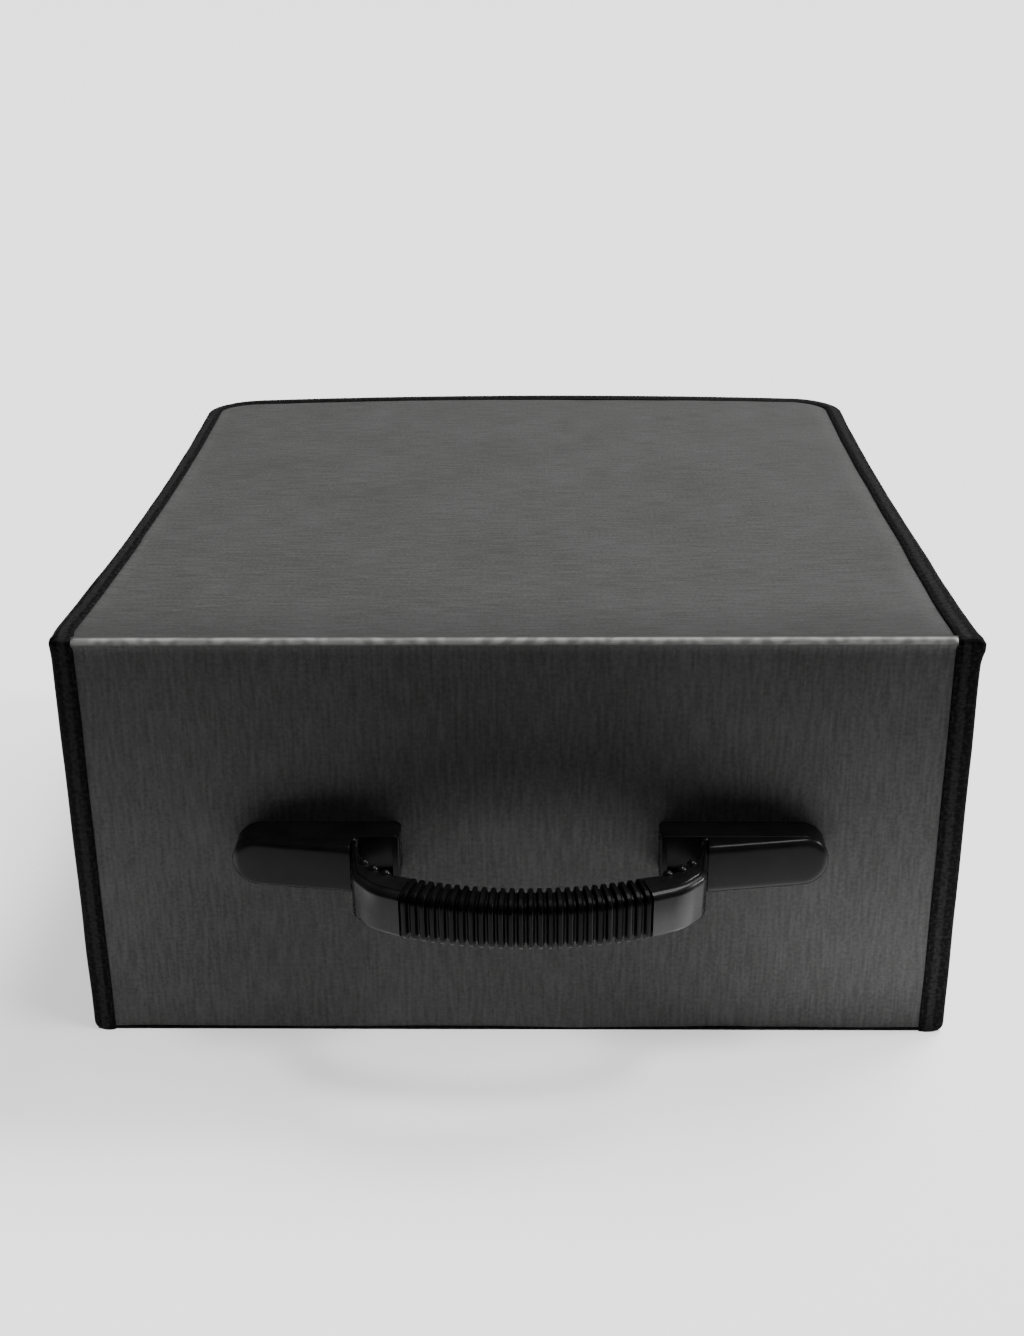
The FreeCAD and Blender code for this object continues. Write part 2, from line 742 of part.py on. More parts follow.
# Welt in the fold that the lid turns about
welt_half = case_width / 2 - welt_end_inset
save("fold_welt", rod(vector(-welt_half, hinge_y, hinge_z), x_way, 2 * welt_half, welt_radius))

# Lid
save("lid_fabric", plan_block(lid_side_inset, lid_fabric_low, lid_fabric_top, lid_front))
save("lid_board", plan_block(lid_side_inset, lid_board_low, lid_fabric_low, lid_front + welt_gap))
lid_plug_front = front_lining_inner + plug_gap
lid_pad_inset = cavity_inset + plug_gap + lining_thickness
lid_pad = plan_block(lid_pad_inset, lid_pad_low, lid_board_low, lid_plug_front + lining_thickness)
save("lid_pad", lid_pad)
lid_flange = plan_block(lid_side_inset, lid_flange_low, lid_board_low, lid_front + welt_gap)
lid_cover = plan_block(cavity_inset + plug_gap, lid_lining_low, lid_flange_low, lid_plug_front)
save("lid_lining", one(lid_flange.fuse(lid_cover).cut(lid_pad)))
save("lid_tape", make_lid_tape())

# Zip
save("upper_zip_tape", make_upper_zip_tape())
save("lower_zip_tape", make_lower_zip_tape())
save("upper_zip_teeth", make_teeth(upper_teeth_low))
save("lower_zip_teeth", make_teeth(lower_teeth_low))
save("upper_zip_stops", make_stops(upper_teeth_low))
save("lower_zip_stops", make_stops(lower_teeth_low))
for name, side in (("left", -1), ("right", 1)):
    save("zip_slider_" + name, make_slider(side))
    save("zip_pull_" + name, make_pull(side))

# Handle
for name, side in (("left", -1), ("right", 1)):
    save("handle_base_" + name, handle_place(make_handle_base(), side))
    save("handle_hood_" + name, handle_place(make_handle_hood(), side))
    save("strap_tongue_" + name, handle_place(make_tongue(), side))
    save("strap_web_" + name, handle_place(make_web(), side))
save("strap_core", handle_place(make_core(), 1))
save("grip_sleeve", handle_place(make_sleeve(), 1))
save("handle_screws", make_screws())
save("backing_plates", make_backing_plates(0))
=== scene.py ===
import math
from functools import partial

import bmesh
import bpy
from mathutils import Matrix, Vector, noise


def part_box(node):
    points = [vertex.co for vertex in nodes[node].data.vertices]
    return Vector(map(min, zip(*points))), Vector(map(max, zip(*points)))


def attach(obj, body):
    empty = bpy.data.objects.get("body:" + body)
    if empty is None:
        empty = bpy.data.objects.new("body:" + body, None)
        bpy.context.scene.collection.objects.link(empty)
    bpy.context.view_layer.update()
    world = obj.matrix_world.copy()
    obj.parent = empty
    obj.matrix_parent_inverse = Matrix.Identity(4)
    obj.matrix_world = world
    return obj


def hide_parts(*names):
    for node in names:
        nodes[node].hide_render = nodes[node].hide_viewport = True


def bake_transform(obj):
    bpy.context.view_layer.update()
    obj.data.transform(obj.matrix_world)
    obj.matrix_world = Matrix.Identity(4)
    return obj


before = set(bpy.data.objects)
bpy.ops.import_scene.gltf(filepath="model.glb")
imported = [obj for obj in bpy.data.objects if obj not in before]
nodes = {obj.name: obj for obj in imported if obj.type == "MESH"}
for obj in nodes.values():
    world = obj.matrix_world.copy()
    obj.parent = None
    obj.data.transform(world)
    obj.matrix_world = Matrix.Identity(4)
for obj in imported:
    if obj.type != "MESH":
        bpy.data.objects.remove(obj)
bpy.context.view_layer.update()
print("frame loaded")

# A flat accordion case: one grey cloth over lid and front, black tape over the edges, a zip under the lid's
# edge and a ribbed strap handle. Lengths are metres, +Z is up and the handle faces -Y. A side is -1 or 1.

mm = 0.001

# The case's outline and layers, the same sizes as the construction

case = {
    "width": 390 * mm, "depth": 402 * mm, "height": 195 * mm, "rearCorner": 26 * mm,
    "drawIn": {-1: (4.8 * mm, 0.6 * mm), 1: (3.8 * mm, 0.4 * mm)},  # at the middle and at the rear
    "tape": 1.2 * mm, "cloth": 0.8 * mm,
    "wallInset": 3.6 * mm, "padInset": 7.4 * mm, "liningInset": 15.4 * mm,
    "lidCrown": 3.0 * mm, "crownHalfWidth": 185 * mm,  # the lid bows up at the middle of its rear edge
    "lidStart": 12 * mm,  # behind the hinge, where cloth and tape have turned from the front to the lid
}
front = -case["depth"] / 2
rear = case["depth"] / 2
top = case["height"]
clothFront = front + case["tape"]
clothTop = top - case["tape"]
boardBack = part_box("front_board")[1].y
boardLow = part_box("bottom_board")[1].z
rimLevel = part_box("wall_board")[1].z
weltLow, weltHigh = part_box("fold_welt")
hinge = (weltLow + weltHigh) / 2
weltRadius = (weltHigh.z - weltLow.z) / 2
upward = Vector((0, 0, 1))
backward = Vector((0, 1, 0))


def between(a, b, share):
    return a + (b - a) * share


def evenly(low, high, steps):
    return [low + (high - low) * i / steps for i in range(steps + 1)]


def smooth(low, high, value):
    # 0 at low, 1 at high, and an even turn between
    t = min(max((value - low) / (high - low), 0.0), 1.0)
    return t * t * (3 - 2 * t)


def ripple(place, size, height, seed):
    # a fixed unevenness at a place, a pair; the dictionaries keep a wave as its size, height and seed
    return noise.noise(Vector((place[0] / size, place[1] / size, seed))) * height


def runs(line):
    # how far along a line each of its points lies
    lengths = [0.0]
    for a, b in zip(line, line[1:]):
        lengths.append(lengths[-1] + (b - a).length)
    return lengths


def findSpots(lengths, wanted):
    # the segment of a line and the share of it for each wanted length, in rising order
    k, spots = 0, []
    for length in wanted:
        while k < len(lengths) - 2 and lengths[k + 1] < length:
            k += 1
        spots.append((k, min((length - lengths[k]) / max(lengths[k + 1] - lengths[k], 1e-9), 1.0)))
    return spots


def lidCrown(x, y):
    # how far the lid's cover bows up at a place of the plan
    return case["lidCrown"] * max(1 - (x / case["crownHalfWidth"]) ** 2, 0.0) * smooth(front, rear, y)


def onLid(y):
    return smooth(hinge.y, hinge.y + case["lidStart"], y)


def sideX(side, y, inset=0.0):
    # x of a side of the plan at y; the sides draw in towards the middle
    middle, end = case["drawIn"][side]
    t = y / rear
    return side * (case["width"] / 2 - middle * (1 - t * t) - end * (t + t * t) / 2 - inset)


def planPath(yStart, inset=0.0, step=4 * mm):
    # points and outward directions from the left front round the rear to the right front
    radius = case["rearCorner"]
    yCorner = rear - radius
    count = max(2, round((yCorner - yStart) / step))
    turns = max(6, round(radius * math.pi / 2 / step))
    halves = []
    for side in (-1, 1):
        half = []
        for y in evenly(yStart, yCorner, count)[:-1]:
            slope = (sideX(side, y + mm) - sideX(side, y - mm)) / (2 * mm)
            half.append((Vector((sideX(side, y), y, 0)), Vector((side, -side * slope, 0)).normalized()))
        centre = Vector((sideX(side, yCorner) - side * radius, yCorner, 0))
        for angle in evenly(0.0, math.pi / 2, turns):
            way = Vector((side * math.cos(angle), math.sin(angle), 0))
            half.append((centre + way * radius, way))
        halves.append(half)
    start, end = halves[0][-1][0], halves[1][-1][0]
    across = max(2, round((end - start).length / step))
    straight = [(start.lerp(end, i / across), backward) for i in range(1, across)]
    return [(point - way * inset, way) for point, way in halves[0] + straight + halves[1][::-1]]


def rowEnds(y, inset):
    # left and right end of a row across the plan at y
    radius = case["rearCorner"]
    yCorner = rear - radius
    if y <= yCorner:
        return [sideX(side, max(y, front), inset) for side in (-1, 1)]
    reach = math.sqrt(max((radius - inset) ** 2 - (y - yCorner) ** 2, 0.0))
    return [sideX(side, yCorner) + side * (reach - radius) for side in (-1, 1)]


# Skins: points, faces and the cloth coordinates of each point

def loft(rings):
    # a closed skin over rings of equally many points; uv runs round a ring and along the rings
    size = len(rings[0])
    last = size * (len(rings) - 1)
    alongs = runs([ring[0] for ring in rings])
    faces = [(a + i, a + (i + 1) % size, a + size + (i + 1) % size, a + size + i)
             for a in range(0, last, size) for i in range(size)]
    faces += [tuple(range(size))[::-1], tuple(range(last, last + size))]
    uvs = [(around, along) for ring, along in zip(rings, alongs) for around in runs(ring)]
    return [p for ring in rings for p in ring], faces, uvs


def shellSkin(points, uvs, size, endWall=True):
    # a skin over an outer and an inner grid of points in rows of one size, with walls round its rim; a
    # last row that is folded shut needs no wall
    under = len(points) // 2
    faces = []
    for a in range(under - size):
        if (a + 1) % size:  # not at the end of a row
            faces.append((a, a + 1, a + size + 1, a + size))
            faces.append((under + a, under + a + size, under + a + size + 1, under + a + 1))
    rim = list(range(under - size, 0, -size)) + list(range(size)) + list(range(2 * size - 1, under, size))
    rim += list(range(under - 2, under - size - 1, -1)) if endWall else []
    faces += [(a, under + a, under + b, b) for a, b in zip(rim, rim[1:])]
    return points, faces, uvs


def sheetSkin(rows, thickness):
    # a closed thin sheet over rows of (point, outward direction, uv)
    points = [p - way * thickness * layer for layer in (0, 1) for row in rows for p, way, uv in row]
    return shellSkin(points, [uv for row in rows for p, way, uv in row] * 2, len(rows[0]))


def joinSkins(skins):
    points, faces, uvs = [], [], []
    for skinPoints, skinFaces, skinUvs in skins:
        faces += [tuple(i + len(points) for i in face) for face in skinFaces]
        points += skinPoints
        uvs += skinUvs
    return points, faces, uvs


def rod(start, end, radius, sides=5):
    # a short bar with round ends, such as a stitch
    way = (end - start).normalized()
    across = way.cross(upward if abs(way.z) < 0.9 else Vector((1, 0, 0))).normalized()
    third = way.cross(across)
    turns = [2 * math.pi * k / sides for k in range(sides)]
    rings = []
    for place, share in ((start, -0.9), (start, -0.5), (end, 0.5), (end, 0.9)):
        centre, reach = place + way * radius * share, radius * math.sqrt(1 - share * share)
        rings.append([centre + (across * math.cos(t) + third * math.sin(t)) * reach for t in turns])
    return loft(rings)


def roundedBox(halfA, halfB, radius, steps=4):
    # a rectangle with round corners, as (a, b) pairs
    radius = min(radius, halfA, halfB)
    pairs = []
    for k, (signA, signB) in enumerate(((1, 1), (-1, 1), (-1, -1), (1, -1))):
        for angle in (math.pi / 2 * (k + i / steps) for i in range(steps + 1)):
            pairs.append((signA * (halfA - radius) + radius * math.cos(angle),
                          signB * (halfB - radius) + radius * math.sin(angle)))
    return pairs


def wrapRows(path, profile, standOut, facing=1, start=0.0):
    # rows of a sheet carried along the plan: the profile is how far out, how high and how far turned from
    # upright (0) to level (1); standOut adds its unevenness. With the rows come the sheet's two lengths.
    alongs = runs([point for point, way in path])
    lengths = runs([Vector((0, out, up)) for out, up, turn in profile])
    rows = [[(point + way * (out + standOut(along, up, turn)) + upward * up,
              (way * facing * (1 - turn) + upward * turn).normalized(), (along, start + run))
             for (point, way), along in zip(path, alongs)] for (out, up, turn), run in zip(profile, lengths)]
    return rows, (alongs[-1], lengths[-1])


def planRows(low, high, inset, steps, levelAt, facing=-1, spacing=evenly):
    # rows of a level sheet from low to high in y; levelAt takes x, y and the distance from the nearer side
    rows = []
    for y in spacing(low, high, steps):
        left, right = rowEnds(y, inset)
        rows.append([(Vector((x, y, levelAt(x, y, min(x - left, right - x)))), upward * facing, (x, y))
                     for x in spacing(left, right, steps)])
    return rows


# Pieces

def makeMesh(name, skin, sharp=40, weld=0.0):
    # an object in the scene; sharp is the angle of a hard edge, and points nearer than weld become one
    points, faces, uvs = skin
    mesh = bpy.data.meshes.new(name)
    mesh.from_pydata([tuple(p) for p in points], [], faces)
    layer = mesh.uv_layers.new(name="cloth")
    for loop in mesh.loops:
        layer.data[loop.index].uv = uvs[loop.vertex_index]
    work = bmesh.new()
    work.from_mesh(mesh)
    if weld:
        bmesh.ops.remove_doubles(work, verts=work.verts, dist=weld)
    bmesh.ops.recalc_face_normals(work, faces=work.faces)
    work.to_mesh(mesh)
    work.free()
    mesh.polygons.foreach_set("use_smooth", [True] * len(mesh.polygons))
    mesh.set_sharp_from_angle(angle=math.radians(sharp))
    piece = bpy.data.objects.new(name, mesh)
    bpy.context.scene.collection.objects.link(piece)
    return piece


def addPiece(name, skin, body, finishName, replaced=(), bend=None, sharp=60, weld=0.0):
    # a piece with its material, on its body, with the construction nodes that it stands for hidden; bend is
    # the other body and the two places of the fold, and a piece with a bend stays where it is, on no body,
    # and does not bend
    piece = makeMesh(name, skin, sharp, weld)
    piece.data.materials.append(finish[finishName])
    if bend:
        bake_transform(piece)
    else:
        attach(piece, body)
    if replaced:
        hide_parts(*replaced)
    return piece


stitch = {"pitch": 3.5 * mm, "length": 2.4 * mm, "thread": 0.22 * mm}


def addSeam(name, line, bend=None):
    # separate stitches along a line, one to each pitch
    stitches = []
    distance, wanted = 0.0, stitch["pitch"] / 2
    for a, b in zip(line, line[1:]):
        reach = (b - a).length
        while distance + reach >= wanted + stitch["length"]:
            if wanted >= distance:
                way = (b - a).normalized()
                start = a + way * (wanted - distance)
                stitches.append(rod(start, start + way * stitch["length"], stitch["thread"]))
            wanted += stitch["pitch"]
        distance += reach
    return addPiece(name, joinSkins(stitches), "case", "thread", bend=bend, sharp=40)


# Camera where the photograph was taken from

cameraPlace = {
    "x": 12.5 * mm, "beforeFront": 674.8 * mm, "z": 467.0 * mm,
    "yaw": -1.118, "pitch": 22.922, "roll": -0.498,  # degrees
    "focal": 1743.8, "imageHeight": 1336, "filmHeight": 36.0,  # pixels, pixels, millimetres of film
}


def makeCamera():
    data = bpy.data.cameras.new("photo_camera")
    data.sensor_fit = "VERTICAL"
    data.sensor_height = cameraPlace["filmHeight"]
    data.lens = cameraPlace["focal"] / cameraPlace["imageHeight"] * cameraPlace["filmHeight"]
    data.clip_start = 10 * mm
    camera = bpy.data.objects.new("photo_camera", data)
    bpy.context.scene.collection.objects.link(camera)
    yaw, pitch, roll = [math.radians(cameraPlace[key]) for key in ("yaw", "pitch", "roll")]
    turn = Matrix.Rotation(-yaw, 4, "Z") @ Matrix.Rotation(math.pi / 2 - pitch, 4, "X")
    place = Vector((cameraPlace["x"], front - cameraPlace["beforeFront"], cameraPlace["z"]))
    camera.matrix_world = Matrix.Translation(place) @ turn @ Matrix.Rotation(roll, 4, "Z")
    bpy.context.scene.camera = camera


makeCamera()
print("camera set")

# Materials

def srgb(hexValue):
    # linear colour of an sRGB hex value
    channels = [int(hexValue[i:i + 2], 16) / 255 for i in (0, 2, 4)]
    return [c / 12.92 if c <= 0.04045 else ((c + 0.055) / 1.055) ** 2.4 for c in channels] + [1.0]


def setInputs(node, inputs):
    # an input takes a plain value, a socket, or a node's first output
    for key, value in inputs.items():
        if isinstance(value, bpy.types.Node):
            value = value.outputs[0]
        if isinstance(value, bpy.types.NodeSocket):
            node.id_data.links.new(value, node.inputs[key])
        else:
            node.inputs[key].default_value = value


def addNode(tree, kind, inputs, stops=(), **settings):
    # one node with its settings and links; stops are a colour ramp's places and hex colours
    node = tree.nodes.new("ShaderNode" + kind)
    for key, value in settings.items():
        setattr(node, key, value)
    for i, (place, hexValue) in enumerate(stops):
        node.color_ramp.elements[i].position = place
        node.color_ramp.elements[i].color = srgb(hexValue)
    setInputs(node, inputs)
    return node


def newMaterial(name):
    # a material, and the function that adds a node to it
    material = bpy.data.materials.new(name)
    material.use_nodes = True
    return material, partial(addNode, material.node_tree)


def surfaced(material, inputs):
    # the material with the settings of its own shader
    setInputs(material.node_tree.nodes["Principled BSDF"], inputs)
    return material


def weave(add, coords, pitch, ratio=1.0):
    # height of a plain weave: warp and weft threads that pass over each other in turn
    place = add("Mapping", {"Vector": coords, "Scale": (1 / pitch, 1 / (pitch * ratio), 1)})
    bands = {"Vector": place, "Scale": math.pi / 10}  # one band to each thread
    warp = add("TexWave", bands, bands_direction="X").outputs["Fac"]
    weft = add("TexWave", bands, bands_direction="Y").outputs["Fac"]
    over = add("TexChecker", {"Vector": place, "Scale": 1.0}).outputs["Fac"]
    warpUp = add("Math", {0: warp, 1: weft, 2: 1.0}, operation="MULTIPLY_ADD")
    return add("Mix", {0: over, 2: warpUp, 3: weft})


coverCloth = {
    "thread": 1.0 * mm,  # real threads lie about 0.5 mm apart: drawn coarser so that they show
    "dark": "323231", "light": "434343",
    # the fold's pale colour: worn coating with a painted highlight over the welt
    "rubbedHighlightDark": "828280", "rubbedHighlightLight": "a6a6a4", "highlightHalfWidth": 2.3 * mm, "highlightCore": 0.4 * mm,
    "bead": 4.5 * mm, "paintedShade": "202020", "paintedShadeLength": 45 * mm,  # painted shade on the lid behind the fold, darkest at the fold
    "streak": 1.6 * mm, "streakLength": 16 * mm, "cloud": 55 * mm, "fleck": 1.7 * mm,
}


def makeCoverCloth(name, foldAt):
    # polyester oxford, plain woven and coated: dull grey threads with a faint sheen and streaks where thicker
    # threads run;
    # at foldAt the coating is worn smooth over the welt, and its pale colour there is worn coating with a
    # painted highlight on it
    material, add = newMaterial(name)
    coords = add("UVMap", {}, uv_map="cloth")
    threads = weave(add, coords, coverCloth["thread"])
    thin, long = 1 / coverCloth["streak"], 1 / coverCloth["streakLength"]
    streaks = []
    for scale in ((thin, long, 1), (long, thin, 1)):  # along the warp, and along the weft
        place = add("Mapping", {"Vector": coords, "Scale": scale})
        streaks.append(add("TexNoise", {"Vector": place, "Scale": 1.0, "Detail": 3.0}))
    cloud = add("TexNoise", {"Vector": coords, "Scale": 1 / coverCloth["cloud"], "Detail": 3.0})
    flecks = add("TexNoise", {"Vector": coords, "Scale": 1 / coverCloth["fleck"], "Detail": 1.0})
    height = add("SeparateXYZ", {"Vector": coords}).outputs["Y"]
    beyond = add("Math", {0: height, 1: foldAt}, operation="SUBTRACT")
    lid = add("Math", {0: beyond, 1: 0.0}, operation="GREATER_THAN")
    tone = add("Math", {0: cloud, 1: 0.25, 2: -0.125}, operation="MULTIPLY_ADD")
    streak = add("Mix", {0: lid, 2: streaks[0], 3: streaks[1]})  # the weft shows on the lid
    for pattern, share in ((streak, 0.6), (flecks, 0.4)):
        tone = add("Math", {0: pattern, 1: share, 2: tone}, operation="MULTIPLY_ADD")
    plain = add("ValToRGB", {0: tone}, ((0.36, coverCloth["dark"]), (0.64, coverCloth["light"])))
    # painted shade: the lid's colour darkens towards the fold
    foldShade = add("MapRange", {"Value": beyond, "From Min": 0.0, "From Max": coverCloth["paintedShadeLength"],
                            "To Min": 0.5, "To Max": 0.0})
    foldShade = add("Math", {0: foldShade, 1: lid}, operation="MULTIPLY")
    plain = add("Mix", {0: foldShade, 6: plain, 7: srgb(coverCloth["paintedShade"])}, data_type="RGBA").outputs[2]
    # painted glints: noise breaks the fold's painted highlight into beads
    beads = add("TexNoise", {"Vector": coords, "Scale": 1 / coverCloth["bead"], "Detail": 0.0})
    wearAndHighlight = add("ValToRGB", {0: beads},
                 ((0.36, coverCloth["rubbedHighlightDark"]), (0.64, coverCloth["rubbedHighlightLight"])))
    away = add("Math", {0: beyond}, operation="ABSOLUTE")
    # near is the mask of the fold's wear and painted highlight, 1 at its middle
    near = add("MapRange", {"Value": away, "From Min": coverCloth["highlightHalfWidth"],
                            "From Max": coverCloth["highlightCore"]}, interpolation_type="SMOOTHSTEP")
    colour = add("Mix", {0: near, 6: plain, 7: wearAndHighlight}, data_type="RGBA").outputs[2]
    gloss = add("Math", {0: near, 1: -0.2, 2: 0.62}, operation="MULTIPLY_ADD")
    relief = add("Math", {0: flecks, 1: 0.8, 2: threads}, operation="MULTIPLY_ADD")
    worn = add("Math", {0: near, 1: -0.28, 2: 0.3}, operation="MULTIPLY_ADD")
    bump = add("Bump", {"Height": relief, "Strength": worn, "Distance": 0.25 * mm})
    return surfaced(material, {
        "Base Color": colour, "Roughness": gloss, "Normal": bump, "IOR": 1.46,
        "Specular IOR Level": 0.2, "Sheen Weight": 0.03, "Sheen Roughness": 0.45})


tapeCloth = {
    "rib": 0.9 * mm, "wear": 1.8 * mm, "dark": "030303", "wearAndHighlight": "222222",
    "highlightPlace": 5.0 * mm, "highlightHalfWidth": 2.3 * mm, "highlightCore": 0.8 * mm,  # places of the painted highlight, measured across the tape
}


def makeTapeCloth():
    # polyester grosgrain binding tape, woven with fine cross ribs: black and dull with random grey wear, and
    # a painted highlight along its crown
    material, add = newMaterial("grosgrainTapeWoven")
    coords = add("UVMap", {}, uv_map="cloth")
    threads = weave(add, coords, tapeCloth["rib"])
    wear = add("TexNoise", {"Vector": coords, "Scale": 1 / tapeCloth["wear"], "Detail": 3.0})
    # painted highlight: a grey band along the middle of the tape's crown
    across = add("SeparateXYZ", {"Vector": coords}).outputs["X"]
    across = add("Math", {0: across, 1: tapeCloth["highlightPlace"]}, operation="SUBTRACT")
    across = add("Math", {0: across}, operation="ABSOLUTE")
    crownHighlight = add("MapRange", {"Value": across, "From Min": tapeCloth["highlightHalfWidth"],
                           "From Max": tapeCloth["highlightCore"], "To Max": 0.25}, interpolation_type="SMOOTHSTEP")
    wear = add("Math", {0: wear, 1: crownHighlight}, operation="ADD")
    colour = add("ValToRGB", {0: wear}, ((0.46, tapeCloth["dark"]), (0.84, tapeCloth["wearAndHighlight"])))
    bump = add("Bump", {"Height": threads, "Strength": 0.35, "Distance": 0.2 * mm})
    return surfaced(material, {
        "Base Color": colour, "Normal": bump, "Roughness": 0.6, "IOR": 1.5, "Specular IOR Level": 0.04})


def makeZipTapeCloth():
    # polyester zip tape, woven with a fine rib: black and flat
    material, add = newMaterial("zipTapeWoven")
    threads = weave(add, add("UVMap", {}, uv_map="cloth"), 0.8 * mm, 2.0)
    colour = add("ValToRGB", {0: threads}, ((0.2, "0b0b0b"), (0.9, "191919")))
    bump = add("Bump", {"Height": threads, "Strength": 0.35, "Distance": 0.2 * mm})
    return surfaced(material, {
        "Base Color": colour, "Normal": bump, "Roughness": 0.7, "IOR": 1.5, "Specular IOR Level": 0.25,
        "Sheen Weight": 0.08})


def makePlush():
    # polyester plush, knitted and brushed: soft black pile that lightens at grazing angles
    material, add = newMaterial("plushBrushed")
    coords = add("TexCoord", {}).outputs["Object"]
    pile = add("TexNoise", {"Vector": coords, "Scale": 1 / (1.0 * mm), "Detail": 2.0})
    lay = add("TexNoise", {"Vector": coords, "Scale": 1 / (22 * mm), "Detail": 3.0})
    tone = add("Mix", {0: 0.35, 2: lay, 3: pile})
    colour = add("ValToRGB", {0: tone}, ((0.38, "101012"), (0.62, "26262a")))
    bump = add("Bump", {"Height": pile, "Strength": 0.6, "Distance": 0.6 * mm})
    return surfaced(material, {
        "Base Color": colour, "Normal": bump, "Roughness": 0.9, "IOR": 1.4, "Specular IOR Level": 0.2,
        "Sheen Weight": 0.35, "Sheen Roughness": 0.6, "Sheen Tint": srgb("6c6c72")})


def makeFibreBoard():
    # hardboard, pressed from wood fibre: brown and matt with short fibres
    material, add = newMaterial("hardboardPressed")
    coords = add("TexCoord", {}).outputs["Object"]
    place = add("Mapping", {"Vector": coords, "Scale": (1 / (6 * mm), 1 / (1.5 * mm), 1 / (1.5 * mm))})
    fibres = add("TexNoise", {"Vector": place, "Scale": 1.0, "Detail": 4.0})
    colour = add("ValToRGB", {0: fibres}, ((0.3, "5d4731"), (0.7, "7c6145")))
    bump = add("Bump", {"Height": fibres, "Strength": 0.3, "Distance": 0.2 * mm})
    return surfaced(material, {"Base Color": colour, "Normal": bump, "Roughness": 0.85, "IOR": 1.45})


def makeMottled(name, size, detail, stops, rough, look, grain=None):
    # tone and roughness vary in blotches of one size; grain is the size, strength and depth of a relief
    material, add = newMaterial(name)
    coords = add("TexCoord", {}).outputs["Object"]
    mottle = add("TexNoise", {"Vector": coords, "Scale": 1 / size, "Detail": detail})
    colour = add("ValToRGB", {0: mottle}, stops)
    gloss = add("MapRange", {"Value": mottle, "To Min": rough[0], "To Max": rough[1]})
    if grain:
        pits = add("TexNoise", {"Vector": coords, "Scale": 1 / grain[0], "Detail": 1.0})
        look["Normal"] = add("Bump", {"Height": pits, "Strength": grain[1], "Distance": grain[2]})
    return surfaced(material, {"Base Color": colour, "Roughness": gloss, **look})


farAway = 10.0  # a fold position that no cloth reaches
foldRun = hinge.z + 1.35 * mm  # run of the cloth from the floor to the middle of its fold
finish = {
    "cover": makeCoverCloth("oxfordClothFoldWearHighlight", foldRun),
    "wallCover": makeCoverCloth("oxfordCloth", farAway),
    "tape": makeTapeCloth(), "zipTape": makeZipTapeCloth(), "plush": makePlush(), "board": makeFibreBoard(),
    # polyester thread, twisted: black with a small shine on each stitch
    "thread": makeMottled("polyesterThreadTwisted", 0.5 * mm, 1.0, ((0.35, "0c0c0c"), (0.65, "1c1c1c")),
                          (0.5, 0.5), {"IOR": 1.5, "Specular IOR Level": 0.08}),
    # ABS, injection-moulded with a fine spark-eroded grain: black and satin, soft lights on its edges
    "housing": makeMottled("absMoulded", 14 * mm, 4.0, ((0.35, "0f0f0f"), (0.65, "151515")),
                           (0.22, 0.3), {"IOR": 1.5, "Specular IOR Level": 0.09}, (0.7 * mm, 0.1, 0.06 * mm)),
    # thermoplastic rubber, moulded: black with a greasy satin shine and faint flow marks
    "strap": makeMottled("rubberStrapMoulded", 8 * mm, 4.0, ((0.3, "0b0b0b"), (0.7, "131313")),
                         (0.21, 0.36), {"IOR": 1.5, "Specular IOR Level": 0.16}, (0.6 * mm, 0.1, 0.05 * mm)),
    # the same rubber, darker and duller than the strap
    "grip": makeMottled("rubberGripMoulded", 8 * mm, 4.0, ((0.3, "050505"), (0.7, "0a0a0a")),
                        (0.27, 0.42), {"IOR": 1.5, "Specular IOR Level": 0.08}, (0.6 * mm, 0.1, 0.05 * mm)),
    # zinc alloy, die-cast and plated black nickel: dark glossy metal, rubbed brighter in places
    "zinc": makeMottled("zincCastBlackNickel", 3 * mm, 4.0, ((0.35, "3a3a3c"), (0.7, "636367")),
                        (0.2, 0.4), {"Metallic": 1.0}),
    # mild steel, cold-rolled and zinc-plated: grey with a fine crystal mottle
    "steel": makeMottled("steelZincPlated", 2 * mm, 3.0, ((0.3, "949696"), (0.7, "b8b9b8")),
                         (0.3, 0.5), {"Metallic": 1.0}),
    # polyethylene foam, blown in closed cells: dark grey, dull and finely pitted
    "foam": makeMottled("foamClosedCell", 1.2 * mm, 1.0, ((0.3, "242424"), (0.7, "343434")),
                        (0.8, 0.8), {"IOR": 1.4}, (1.2 * mm, 0.4, 0.3 * mm)),
    # nylon monofilament, wound into a coil: black with a small bright glint on each turn
    "nylon": makeMottled("nylonCoilWound", 6 * mm, 2.0, ((0.3, "0c0c0c"), (0.7, "191919")),
                         (0.26, 0.4), {"IOR": 1.53}),
}
print("materials made")

# The cloth over front and lid, one piece with the round fold between them

